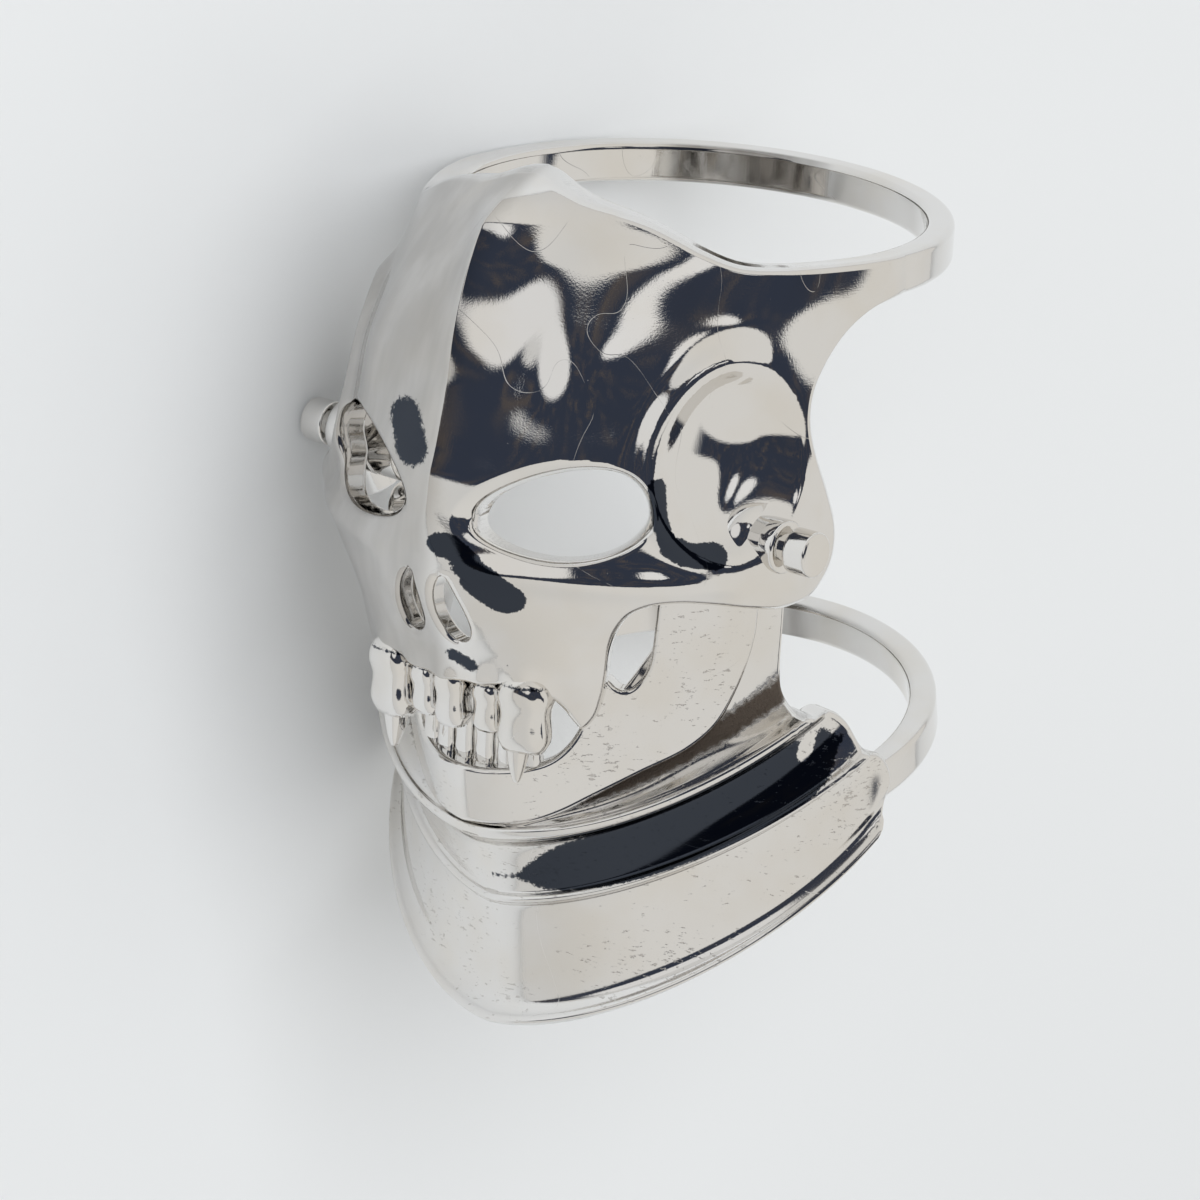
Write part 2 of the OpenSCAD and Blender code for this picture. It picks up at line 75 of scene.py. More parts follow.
# Horizontal sections of the mask and of the jaw: height, front reach, half width, squareness
MASK = [
    (-23.0, 14.0, 11.0, 1.75), (-20.5, 14.4, 11.2, 1.80), (-18.5, 14.9, 11.4, 1.90),
    (-16.0, 15.9, 11.7, 2.00), (-14.0, 16.3, 11.9, 2.10), (-11.5, 16.5, 12.1, 2.10),
    (-9.0, 16.5, 12.1, 2.05), (-7.0, 16.1, 12.0, 2.00), (-5.2, 15.7, 11.9, 1.95),
    (-3.4, 15.2, 11.7, 1.85), (-1.7, 14.5, 11.4, 1.75), (0.0, 13.4, 11.25, 1.70),
    (1.6, 12.0, 11.2, 1.65), (3.6, 10.6, 11.2, 1.60)]
JAW = [
    (-26.0, 13.0, 10.1, 1.52), (-24.5, 13.6, 10.2, 1.48), (-22.0, 14.0, 10.4, 1.55),
    (-19.0, 13.45, 10.4, 1.75), (-15.0, 14.1, 10.5, 2.00), (-9.0, 14.5, 10.6, 2.10)]

# Edge of the mask's right half from the middle of the lip round to the top: angle, height
MASK_EDGE = [
    (0, -17.9), (5, -17.8), (9, -17.7), (13, -17.6), (17, -17.9), (19.4, -18.5), (21, -19.1),
    (22.5, -19.5), (24.6, -19.0), (26.1, -17.9), (26.8, -16.8), (27.4, -15.6), (28.7, -14.6),
    (30.6, -13.85), (33.5, -13.45), (38, -13.3), (44, -13.45), (50, -13.7), (56, -13.9),
    (62.2, -13.75), (64.6, -13.45), (67.0, -12.85), (68.6, -12.0), (68.6, -10.7), (66.2, -9.1),
    (63.6, -7.6), (62.2, -6.2), (62.9, -5.0), (65.5, -4.0), (70, -3.0), (75.5, -2.3),
    (82, -1.85), (90, -1.75), (TUCK_A, -1.75)]
MASK_TOP = [
    (TUCK_A, 0), (90, 0), (70, 0.05), (57, 0.08), (47, 0.25), (38.5, 0.85), (33, 1.35),
    (27, 1.8), (20, 2.15), (13, 2.45), (8, 2.85), (4, 3.2), (0, 3.35)]

# Edge of the jaw's right half: upper edge from the middle of the mouth, then the jawline back
JAW_UPPER = [
    (0, -21.95), (4, -21.95), (8, -21.85), (12, -21.65), (15.5, -21.3), (18.3, -20.7),
    (20.4, -19.9), (21.5, -19.0), (22.4, -18.1), (23.8, -17.5), (25.6, -17.6), (27.5, -18.0),
    (29.5, -18.05), (31.8, -17.65), (33.4, -16.95), (34.0, -16.0), (34.3, -14.9), (34.9, -13.6),
    (37, -13.0), (42, -12.8), (48, -12.8), (53, -13.1), (56.3, -13.9)]
JAWLINE = [
    (56.3, -15.6), (55.6, -16.6), (53.5, -18.2), (49.5, -19.8), (43.2, -20.9), (33.3, -21.9),
    (24.5, -22.95), (18.1, -23.8), (13.6, -24.25), (8.7, -24.5), (0, -24.6)]

# Sections of the throat and collar, from the top down: front reach, half width, squareness,
# height at the front, height beside the finger, extra wall, angle at which the section ends,
# and how much further round it goes on the wearer's left
COLLAR = [
    (12.9, 9.85, 2.00, -23.0, 3.6, 0.0, 54, 0),
    (12.8, 9.85, 1.75, -23.6, -9.0, 0.0, 66, 0),
    (12.6, 10.4, 1.62, -24.4, -15.3, 0.0, 66, 0),
    (12.9, 11.5, 1.80, -24.7, -16.2, 0.25, 66.5, 0),
    (13.0, 12.0, 1.85, -24.9, -16.3, 0.35, 68, 0),
    (12.9, 12.05, 1.82, -25.3, -16.7, 0.3, 70, 0),
    (12.1, 11.7, 1.65, -25.9, -17.4, 0.1, 73, 2.5),
    (11.5, 11.8, 1.60, -27.0, -18.5, 0.0, 76, 4),
    (11.1, 12.4, 1.60, -28.1, -19.5, 0.1, 77.5, 4),
    (11.25, 12.75, 1.60, -28.5, -19.9, 0.3, 78.5, 3.5),
    (10.95, 12.5, 1.60, -28.9, -20.3, 0.1, 81, 3),
    (10.7, 12.27, 1.62, -30.0, -21.3, 0.0, 84, 4),
    (10.5, 12.3, 1.64, -32.4, -23.0, 0.0, 85, 6),
    (10.5, 12.2, 1.66, -33.3, -23.7, 0.0, 83, 7),
    (10.95, 12.55, 1.66, -34.0, -24.25, 0.3, 80, 7.5),
    (10.8, 12.45, 1.66, -34.3, -24.5, 0.2, 79, 7)]
THROAT_ROWS = 3         # rows of the table that are throat, with a thinner wall
BEAD_ROWS = (4, 9, 14)  # rows that carry a rolled bead
BEAD_W = 0.34
COLLAR_MIDDLE = 45      # angle of the line down the middle of a side

# Eye and nostril: angle and height of the middle, half width in degrees, half height above and
# below, taper, lean; and the points that draw them
EYE = (19.6, -9.95, 12.8, 1.97, 1.65, 0.2, 0.45)
NOSTRIL = (3.6, -14.4, 2.3, 1.5, 1.5, 0.35, -0.7)
EYE_POINTS, NOSTRIL_POINTS = 160, 90

# Soft swells of the mask: angle, height, half width in degrees, half height, rise
SWELLS = [
    (19, -4.2, 10, 3, 0.55),        # brow
    (40, -12.9, 17, 1.6, 0.4),      # cheekbone
    (55, -11.4, 9.5, 2.6, 0.95),    # hinge lobe
    (33, -15.8, 11, 1.6, -0.4),     # hollow under the cheekbone
    (9, -3.5, 5, 4.5, -0.12),       # valley beside the crest
    (0, -18.2, 3.0, 1.0, 0.5),      # roots of the upper teeth
    (6.6, -18.3, 2.8, 1.0, 0.5),
    (14, -17.9, 3.4, 0.9, 0.5)]
# Crest down the middle of the forehead: height and rise; its width in degrees and sharpness
CREST = [
    (-12.5, 0), (-11, 0.3), (-9.2, 0.6), (-7.5, 0.55), (-5, 0.6), (-3.4, 0.85), (-1.7, 1.2),
    (0.1, 1.8), (1.5, 2.3), (2.2, 1.9), (2.7, 1.2), (3.1, 0.4), (3.4, -0.2)]
CREST_W, CREST_SHARP = 7.5, 1.05
# Bridge of the nose: height, rise, width in degrees
NOSE = [
    (-16.4, 0, 9), (-15.4, 0.25, 10), (-14.4, 0.6, 11), (-13.4, 0.8, 11), (-12.2, 0.65, 8.5),
    (-11, 0.45, 5.5), (-9.8, 0.1, 4), (-9.2, 0, 4)]
# Edge of the cheekbone under the eye: where it starts and ends round the face, over how many
# degrees it fades, height, half height, rise
CHEEK = (4, 52, 8, -12.45, 0.62, 0.32)
# Bowl of the temple: angle, height, half width, half height, depth, roundness of its rim, rise
# of the rim, width of the rim, where the rim ends and over how many degrees it fades
BOWL = (46.5, -7.45, 2.95, 4.0, 1.35, 0.12, 0.5, 0.2, 54, 10)
BOWL_RIM_AT = 1.02      # where the rim's top lies, as a share of the bowl's half width
# Bevelled margin of the eye: height of the lower lid, how it fades, and how hollow the bevel is;
# width and depth beside the nose and beside the temple, and the angles between which they change
LID = (-11.6, 1.6, 1.6)
LID_BEVEL = (0.7, 0.5, 0.35, 0.3, 14, 30)
# Thickening of the mask's wall toward its top edge: share, height where it starts, over which
TOP_WALL = (0.25, -2, 3)
# Where the mask's wings sink into the upper band: angle, over how many degrees, and how far
# their outer and inner skins then lie inside the band's faces
TUCK = (82, 12, 0.06, 0.12)
LEAST_BORE = 0.03       # the mask's inner skin keeps this far from the finger

# Painted shade inside the bands' backs: middle, half width and fading edge in degrees from +X, strength
BAND_SHADE = (112, 24, 8, 0.95)

# Turned pieces on the hinge axis: distance from the middle of the ring, radius. The boss and
# the washer belong to the mask, the pad to the jaw.
BOSS = [(10.4, 1.15), (11.72, 1.15), (11.82, 1.13), (11.88, 1.08), (11.9, 1.0), (11.9, 0.9), (11.9, 0.66)]
WASHER = [(9.3, 0.66), (9.3, 1.45), (9.4, 1.6), (10.6, 1.6)]
PAD = [(7.85, 0.66), (7.85, 1.5), (7.95, 1.6), (9.1, 1.6), (9.2, 1.5), (9.2, 0.66)]
RIVET = [
    (7.47, 0.3), (7.47, 0.84), (7.53, 0.94), (7.7, 0.96), (7.77, 0.9), (7.77, 0.62), (7.79, 0.6),
    (12.24, 0.6), (12.26, 0.62), (12.26, 0.9), (12.29, 0.95), (12.34, 0.965), (12.45, 0.97),
    (13.24, 0.97), (13.32, 0.955), (13.38, 0.92), (13.4, 0.87), (13.4, 0.8), (13.4, 0.3)]
RIVET_SIDES = 64

# Teeth: angle, top height, bottom height, width, outer radius, depth
UPPER_TEETH = [
    (0, -17.2, -20.05, 1.55, 15.45, 1.9), (6.6, -17.5, -20.0, 1.45, 15.1, 1.8),
    (-6.6, -17.5, -20.0, 1.45, 15.1, 1.8), (13.7, -16.9, -20.45, 2.35, 15.6, 2.2),
    (-13.7, -16.9, -20.45, 2.35, 15.6, 2.2)]
FANGS = [(12.9, -19.3, -21.85, 1.15, 15.15, 1.1), (-12.9, -19.3, -21.85, 1.15, 15.15, 1.1)]
LOWER_TEETH = [
    (side * a, top, low, w, r, d) for side in (1, -1) for a, top, low, w, r, d in (
        (2.4, -19.3, -22.2, 1.0, 13.3, 0.95), (7.1, -19.35, -22.2, 1.0, 13.25, 0.95),
        (11.8, -19.5, -22.1, 1.05, 13.1, 0.95))]
# Shape of a tooth down its length: share of its height, of its width and of its depth
CROWN = [
    (0, 0.35, 0.4), (0.12, 0.8, 0.85), (0.32, 1, 1), (0.55, 0.88, 0.8), (0.85, 0.95, 0.78),
    (1, 0.75, 0.55)]
SPIKE = [(0, 0.9, 1), (0.35, 0.85, 0.95), (0.8, 0.5, 0.6), (1, 0.22, 0.3)]
# Dark reflection painted as a ring near a tooth's root: share of its height, over which it fades, strength
ROOT_REFLECTION = (0.17, 0.17, 0.64)

# Camera in the standing frame: azimuth, elevation and roll in degrees, distance in mm, focal
# length in pixels of the 1200 pixel photograph, and the pixel that shows the frame's origin
PHOTO = 1200
VIEW_AZ, VIEW_EL, VIEW_ROLL = 36.0, 14.316, 3.635
VIEW_DISTANCE = 350.0
VIEW_FOCAL = 8249.72
VIEW_CENTRE = (691.486, 201.668)
SENSOR = 36.0


def length(name, description, default, low, high):
    """A setting for a length, given in millimetres."""
    return FloatProperty(name=name, description=description, default=default * MM, min=low * MM,
                         max=high * MM, unit="LENGTH")


def tone(name, description, default):
    """A setting for a colour."""
    return FloatVectorProperty(name=name, description=description, subtype="COLOR", size=3,
                               default=default, min=0, max=1)


class RingSizes(bpy.types.PropertyGroup):
    """What a user may change about the ring's build"""
    spacing: length("Mesh spacing", "Distance between points of the plates", 0.22, 0.1, 1.0)
    rim: length("Rim radius", "Rounding of the plates' edges", 0.28, 0.05, 0.5)
    band_round: length("Band rounding", "Rounding of the finger bands' edges", 0.3, 0.05, 0.5)
    bead: length("Bead height", "Height of the rolled beads on the collar", 0.14, 0.0, 0.4)
    tooth_sides: IntProperty(name="Tooth sides", description="Points round each tooth",
                             default=32, min=8, max=64)


class RingFinish(bpy.types.PropertyGroup):
    """What a user may change about the ring's finish and its surroundings"""
    silver: tone("Silver", "Colour of the polished silver", (0.80, 0.788, 0.772))
    tarnish: tone("Tarnish", "Colour of the darkened recesses", (0.16, 0.12, 0.09))
    # Colour of the dark reflections painted on the mask and teeth, and of the collar's channel, which is
    # partly black patina
    painted_reflection_and_patina: tone("Painted_reflection_and_patina", "Colour of the blackened silver", (0.048, 0.056, 0.072))
    # Colour of the painted shade on one flank of the crest and inside the bands' backs
    painted_shade: tone("Painted_shade", "Colour of the dulled silver", (0.30, 0.287, 0.272))
    floor: tone("Floor", "Colour of the table", (0.825, 0.848, 0.868))
    roughness: FloatProperty(name="Roughness", description="Roughness of the polished silver",
                             default=0.035, min=0.0, max=1.0)


# Curves and profiles

LINE_STEP = 0.1         # millimetres between points of an outline
SPAN_STEPS = 16         # steps of a curve between two of the points it is drawn through


def soft(x):
    """Soft step from 0 to 1."""
    x = np.clip(x, 0, 1)
    return x * x * (3 - 2 * x)


def hill(u, v):
    """Soft round hill."""
    return np.exp(-(u * u + v * v))


def full_turn(count):
    """Even angles round a circle, in radians."""
    return np.linspace(0, 2 * np.pi, count, endpoint=False)


def unit(vectors):
    """Vectors at length 1."""
    return vectors / np.maximum(np.linalg.norm(vectors, axis=1, keepdims=True), 1e-12)


def cos_sin(degrees):
    """Cosine and sine of an angle in degrees."""
    return math.cos(math.radians(degrees)), math.sin(math.radians(degrees))


def column(table, which, x):
    """Smooth value of one column of a table at x, its first column."""
    t = np.asarray(table, float)
    xs, ys = t[:, 0], t[:, which]
    x = np.clip(x, xs[0], xs[-1])
    k = np.arange(len(xs))
    before, after = np.maximum(k - 1, 0), np.minimum(k + 1, len(xs) - 1)
    slopes = (ys[after] - ys[before]) / (xs[after] - xs[before])
    i = np.clip(np.searchsorted(xs, x, side="right") - 1, 0, len(xs) - 2)
    h = xs[i + 1] - xs[i]
    u = (x - xs[i]) / h
    v, w = u * u, u * u * u
    return ((2 * w - 3 * v + 1) * ys[i] + (w - 2 * v + u) * slopes[i] * h
            + (3 * v - 2 * w) * ys[i + 1] + (w - v) * slopes[i + 1] * h)


def between(a, b, ta, tb, t):
    """Points at t on the line that is at a at ta and at b at tb."""
    return (tb - t) / (tb - ta) * a + (t - ta) / (tb - ta) * b


def flowing(points):
    """Smooth curve through points of angle and height, unrolled and with points at even steps."""
    p = unrolled(points)
    p = np.vstack([2 * p[0] - p[1], p, 2 * p[-1] - p[-2]])
    out = []
    for a, b, c, d in zip(p[:-3], p[1:-2], p[2:-1], p[3:]):
        gaps = [max(np.linalg.norm(q), 1e-6) ** 0.5 for q in (b - a, c - b, d - c)]
        t0, t1, t2, t3 = np.cumsum([0] + gaps)
        t = np.linspace(t1, t2, SPAN_STEPS + 1)[:-1, None]
        a1, a2, a3 = between(a, b, t0, t1, t), between(b, c, t1, t2, t), between(c, d, t2, t3, t)
        b1, b2 = between(a1, a2, t0, t2, t), between(a2, a3, t1, t3, t)
        out.append(between(b1, b2, t1, t2, t))
    return resample(np.vstack(out + [p[-2:-1]]), LINE_STEP)


def resample(line, step):
    """The same line with points at even steps."""
    along = np.concatenate([[0], np.cumsum(np.linalg.norm(np.diff(line, axis=0), axis=1))])
    at = np.linspace(0, along[-1], max(int(round(along[-1] / step)), 3) + 1)
    return np.stack([np.interp(at, along, line[:, k]) for k in range(line.shape[1])], 1)


def unrolled(points):
    """Angles in degrees to millimetres round the face."""
    return np.asarray(points, float) * (DEG_MM, 1)


def whole(half):
    """Closed loop from the right half of an outline that starts and ends in the middle."""
    mirror = half[-2:0:-1] * (-1, 1)
    return np.vstack([half, mirror])


def closed(loop):
    """A loop with its first point again at its end."""
    return np.vstack([loop, loop[:1]])


def distance_to(line, u, v):
    """Distance of points from an open line."""
    best = np.full(np.shape(u), 1e9)
    for (x0, y0), (x1, y1) in zip(line[:-1], line[1:]):
        dx, dy = x1 - x0, y1 - y0
        t = np.clip(((u - x0) * dx + (v - y0) * dy) / max(dx * dx + dy * dy, 1e-12), 0, 1)
        best = np.minimum(best, np.hypot(u - x0 - t * dx, v - y0 - t * dy))
    return best


# Forms of the ring's plates

def oval(a, reach, half, square):
    """Radius of an oval section at an angle in degrees."""
    s, c = np.abs(np.sin(np.radians(a))), np.maximum(np.abs(np.cos(np.radians(a))), 1e-5)
    return ((s / half) ** square + (c / reach) ** square) ** (-1 / square)


def section(table, a, z):
    """Radius of the oval section that a table gives at a height."""
    return oval(a, column(table, 1, z), column(table, 2, z), column(table, 3, z))


def polar(r, a, z):
    """Point at a radius, an angle in degrees and a height."""
    return np.stack([r * np.sin(np.radians(a)), -r * np.cos(np.radians(a)), z + 0 * r], -1)


def crest(a, z):
    """Sharp fold down the middle of the forehead."""
    return column(CREST, 1, z) * np.exp(-(np.maximum(a, 1e-6) / CREST_W) ** CREST_SHARP)


def nose(a, z):
    """Bridge of the nose, wider toward its foot."""
    return column(NOSE, 1, z) * np.exp(-(a / column(NOSE, 2, z)) ** 2)


def cheek(a, z):
    """Edge of the cheekbone that runs under the eye."""
    start, end, fade, height, half, rise = CHEEK
    round_face = soft((a - start) / fade) * soft((end - a) / fade)
    return rise * np.exp(-((z - height) / half) ** 2) * round_face


def bowl(a, z):
    """Round dish of the temple with its rim."""
    a0, z0, wide, high, depth, edge, rim, rim_w, end, fade = BOWL
    r = np.hypot((a - a0) * DEG_MM / wide, (z - z0) / high)
    dish = 1 - r * r
    dish = 0.5 * (dish + np.sqrt(dish * dish + edge * edge)) - 0.5 * edge
    return rim * np.exp(-((r - BOWL_RIM_AT) / rim_w) ** 2) * soft((end - a) / fade) - depth * dish


def relief(a, z):
    """Height of the carved details above the mask's plain oval."""
    total = sum(rise * hill((a - a0) / wa, (z - z0) / wz) for a0, z0, wa, wz, rise in SWELLS)
    total = total + crest(a, z) + nose(a, z) + cheek(a, z) + bowl(a, z)
    return total - lid(a, z)


def lid(a, z):
    """Depth of the bevel round the eye."""
    wide, deep, narrow, shallow, start, end = LID_BEVEL
    toward_temple = soft((a - start) / (end - start))
    width = wide + (narrow - wide) * toward_temple
    depth = deep + (shallow - deep) * toward_temple
    share = np.clip(1 - distance_to(EYE_LINE, a * DEG_MM, z) / width, 0, 1)
    height, fade, hollow = LID
    return depth * share ** hollow * soft((z - height) / fade)


def oval_line(opening, count):
    """Edge of an opening, in millimetres round the face and up."""
    a0, z0, wa, up, down, taper, lean = opening
    t = full_turn(count)
    u, v = np.cos(t), np.sin(t)
    loop = np.stack([a0 + wa * u, z0 + np.where(v > 0, up, down) * v * (1 + taper * u) + lean * u], 1)
    return unrolled(loop)


EYE_LINE = closed(oval_line(EYE, EYE_POINTS))


def mask_surface(u, v):
    """Outer and inner points of the mask; behind the temples it sinks into the band."""
    a, z = u / DEG_MM, v
    r = section(MASK, a, z) + relief(np.abs(a), z)
    share, start, over = TOP_WALL
    wall = MASK_T * (1 + share * soft((z - start) / over))
    inner = np.maximum(r - wall, FINGER_R + LEAST_BORE)
    start, over, under_outside, under_bore = TUCK
    tuck = soft((np.abs(a) - start) / over)
    r = r + (FINGER_R + BAND_T - under_outside - r) * tuck
    inner = inner + (FINGER_R + under_bore - inner) * tuck
    return polar(r, a, z), polar(inner, a, z)


def jaw_surface(u, v):
    """Outer and inner points of the jaw plate."""
    a, z = u / DEG_MM, v
    r = section(JAW, a, z)
    return polar(r, a, z), polar(r - JAW_T, a, z)


def collar_rows():
    """The collar's table with the distance down the middle of a side in front of each row."""
    at = []
    for reach, half, square, front, side, _, _, _ in COLLAR:
        r = oval(COLLAR_MIDDLE, reach, half, square)
        height = side + (front - side) * r * math.cos(math.radians(COLLAR_MIDDLE)) / reach
        at.append(polar(r, COLLAR_MIDDLE, height))
    down = np.concatenate([[0], np.cumsum(np.linalg.norm(np.diff(at, axis=0), axis=1))])
    return [(d,) + row for d, row in zip(down, COLLAR)]


COLLAR_ROWS = collar_rows()


def collar_surface(u, v, bead=0.0):
    """Outer and inner points of the throat and collar, with rolled beads."""
    a, d = u / DEG_MM, -v
    reach, half, square, front, side, extra = (column(COLLAR_ROWS, k, d) for k in range(1, 7))
    r = oval(a, reach, half, square)
    z = side + (front - side) * r * np.cos(np.radians(a)) / reach
    wall = np.where(d < COLLAR_ROWS[THROAT_ROWS][0], THROAT_T, COLLAR_T) + extra
    rise = 0
    for row in BEAD_ROWS:
        rise = rise + np.sqrt(np.clip(1 - ((d - COLLAR_ROWS[row][0]) / BEAD_W) ** 2, 0, 1))
    return polar(r + bead * rise, a, z), polar(r - wall, a, z)


def eye_loop(side):
    """Edge of an eye opening."""
    return EYE_LINE[:-1] * (side, 1)


def nostril_loop(side):
    """Edge of a nostril."""
    a0, z0, wa, up, _, taper, lean = NOSTRIL
    t = full_turn(NOSTRIL_POINTS)
    u, v = np.cos(t), np.sin(t)
    return unrolled(np.stack([a0 + wa * u * (1 - taper * v) + lean * v, z0 + up * v], 1)) * (side, 1)


# Meshes

def standing_frame():
    """Matrix from the standing frame in millimetres to the frame the ring lies in."""
    bore = next(m for m in frame["record"]["mounts"] if m["name"] == "upper_finger_bore")
    up = Vector(bore["axis"]).normalized()
    left = Vector(frame["joints"][0]["axis"]).normalized()
    back = up.cross(left)
    origin = Vector(bore["pos_m"]) + up * BAND_H / 2 * MM
    rows = [[left[k] * MM, back[k] * MM, up[k] * MM, origin[k]] for k in range(3)]
    return np.array(rows + [[0, 0, 0, 1]])


STAND = standing_frame()


def lay(points):
    """Standing points in millimetres to points of the ring as it lies, in metres."""
    return np.asarray(points) @ STAND[:3, :3].T + STAND[:3, 3]


def lay_direction(vector):
    """Standing direction to a direction of the ring as it lies."""
    return Vector(STAND[:3, :3] @ np.asarray(vector, float)).normalized()


# Shades painted on each point: tarnish in recesses, painted dark reflections with the collar's patina, and
# painted shade
SHADES = ("recess", "painted_reflection_and_patina", "painted_shade")
# How much of each shade a plate's inner skin has
INSIDE_SHADES = (1, 0, 1)


class Casting:
    """Collects closed skins, in standing millimetres, and turns them into one mesh."""

    def __init__(self):
        self.points, self.normals, self.faces, self.shades = [], [], [], []
        self.count = 0

    def add(self, points, faces, normals=None, shades=None):
        """Adds one closed skin; without normals they are worked out from its faces. The shades say how deep
        in a recess each point is, how much painted dark reflection it has, and how much painted shade."""
        points = np.asarray(points, float)
        normals = face_normals(points, faces) if normals is None else normals
        self.points.append(points)
        self.normals.append(normals)
        self.shades.append(np.zeros((len(points), 3)) if shades is None else shades)
        self.faces += [tuple(int(k) + self.count for k in f) for f in faces]
        self.count += len(points)

    def finish(self, name, material, body, replaced=None):
        """Makes the object, gives it its finish, and lets it ride with a body."""
        mesh = bpy.data.meshes.new(name)
        mesh.from_pydata(lay(np.vstack(self.points)).tolist(), [], self.faces)
        mesh.validate()
        mesh.shade_smooth()
        normals = np.vstack(self.normals) @ (STAND[:3, :3] / MM).T
        if len(mesh.vertices) == len(normals):
            mesh.normals_split_custom_set_from_vertices(normals.tolist())
        for k, shade in enumerate(SHADES):
            layer = mesh.attributes.new(shade, "FLOAT", "POINT")
            layer.data.foreach_set("value", np.vstack(self.shades)[:, k].astype(np.float32))
        mesh.materials.append(material)
        piece = bpy.data.objects.new(name, mesh)
        bpy.context.scene.collection.objects.link(piece)
        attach(piece, body)
        if replaced:
            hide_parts(replaced)
        return piece


def face_normals(points, faces):
    """Normals of points from the faces round them, larger faces counting more."""
    total = np.zeros_like(points)
    for f in faces:
        a, b, c = points[f[0]], points[f[1]], points[f[2]]
        n = np.cross(b - a, c - a)
        if len(f) == 4:
            n = np.cross(points[f[2]] - a, points[f[3]] - b)
        for k in f:
            total[k] += n
    return unit(total)


def inside(loops, points):
    """Whether points lie inside the loops, counting holes as outside."""
    odd = np.zeros(len(points), bool)
    x, y = points[:, 0], points[:, 1]
    for loop in loops:
        for (x0, y0), (x1, y1) in zip(loop, np.roll(loop, -1, 0)):
            if y0 == y1:
                continue
            odd ^= ((y0 > y) != (y1 > y)) & (x < (x1 - x0) * (y - y0) / (y1 - y0) + x0)
    return odd


def outward(loop, loops):
    """Unit normals of a closed loop that point out of the plate."""
    along = np.roll(loop, -1, 0) - np.roll(loop, 1, 0)
    n = unit(np.stack([along[:, 1], -along[:, 0]], 1))
    if inside(loops, (loop + n * 0.01)[:1])[0]:
        n = -n
    return n


# Rows of points inside a plate's edge, and lines of points beside the fold down its middle
RIM_DEPTHS = (0.03, 0.07, 0.12, 0.19, 0.28, 0.38, 0.48, 0.58, 0.7, 0.84)
FOLD_LINES = (-0.24, -0.13, -0.05, 0.0, 0.05, 0.13, 0.24)
EDGE_STEP = 0.7         # distance between points of the edge, as a share of the mesh spacing
ROW_CLEAR = 0.96        # a row's point is kept where this share of its depth is clear
FIELD_CLEAR = 0.6       # the field starts this share of the spacing inside the last row
RIM_LIMIT = 0.45        # a rim's radius is at most this share of the wall
FIELD_DEPTH = 9.0       # depth that points of the field are given: far from any rim


def edge_pairs(loops):
    """Pairs of neighbouring points round each loop."""
    pairs, base = [], 0
    for loop in loops:
        n = len(loop)
        pairs += [(base + k, base + (k + 1) % n) for k in range(n)]
        base += n
    return pairs


def plate_field(loops, edge, spacing):
    """Even points inside the loops, in finer lines along the fold down the middle."""
    lo, hi = edge.min(0), edge.max(0)
    reach = math.ceil(max(-lo[0], hi[0]) / spacing)
    xs = np.arange(-reach, reach + 1) * spacing
    ys = np.arange(lo[1], hi[1], spacing * math.sqrt(3) / 2)
    field = np.array([(x + (j % 2) * spacing / 2, y) for j, y in enumerate(ys) for x in xs])
    fold = [(x, y) for x in FOLD_LINES for y in np.arange(lo[1], hi[1], spacing / 2)]
    field = np.vstack([field[np.abs(field[:, 0]) > FOLD_LINES[-1] + spacing * 0.5], fold])
    field = field[inside(loops, field)]
    return field[nearest(edge, field) > RIM_DEPTHS[-1] + spacing * FIELD_CLEAR]


def plate_points(loops, spacing):
    """Points of a plate: its edge, rows inside the edge, and a field of even points. Returns
    the loops with even points, all points, their depth from the edge, the way out of the edge,
    and the edge's pairs."""
    loops = [resample(closed(loop), spacing * EDGE_STEP)[:-1] for loop in loops]
    edge, out = np.vstack(loops), np.vstack([outward(loop, loops) for loop in loops])
    points, depths, ways = [edge], [np.zeros(len(edge))], [out]
    for depth in RIM_DEPTHS:
        row = edge - out * depth
        clear = nearest(edge, row) > depth * ROW_CLEAR
        points.append(row[clear])
        depths.append(np.full(clear.sum(), depth))
        ways.append(out[clear])
    field = plate_field(loops, edge, spacing)
    points.append(field)
    depths.append(np.full(len(field), FIELD_DEPTH))
    ways.append(np.zeros_like(field))
    return loops, np.vstack(points), np.concatenate(depths), np.vstack(ways), edge_pairs(loops)


def nearest(edge, points, chunk=2000):
    """Distance of each point from the nearest edge point."""
    best = np.empty(len(points))
    for k in range(0, len(points), chunk):
        p = points[k:k + chunk]
        best[k:k + chunk] = np.sqrt(((p[:, None] - edge[None]) ** 2).sum(2).min(1))
    return best


def plate_triangles(loops, points, pairs):
    """Triangles of a plate's flat domain, wound with the domain's own turn."""
    _, _, faces, origins, _, _ = delaunay_2d_cdt([Vector(p) for p in points], pairs, [], 0, 1e-6)
    back = np.array([o[0] if o else -1 for o in origins])
    faces = np.array([f for f in faces if len(f) == 3])
    faces = back[faces]
    faces = faces[(faces >= 0).all(1)]
    a, b, c = (points[faces[:, k]] for k in range(3))
    turn = (b[:, 0] - a[:, 0]) * (c[:, 1] - a[:, 1]) - (b[:, 1] - a[:, 1]) * (c[:, 0] - a[:, 0])
    faces = np.where((turn < 0)[:, None], faces[:, ::-1], faces)
    faces = faces[np.abs(turn) > 1e-9]
    edge_only = (faces < len(pairs)).all(1)
    keep = ~edge_only
    if edge_only.any():
        middles = points[faces[edge_only]].mean(1)
        keep[edge_only] = inside(loops, middles)
    return faces[keep]


def tangents(surface, u, v, which, step=0.02):
    """Unit tangents of one of a plate's two skins."""
    du = surface(u + step, v)[which] - surface(u - step, v)[which]
    dv = surface(u, v + step)[which] - surface(u, v - step)[which]
    return unit(du), unit(dv)


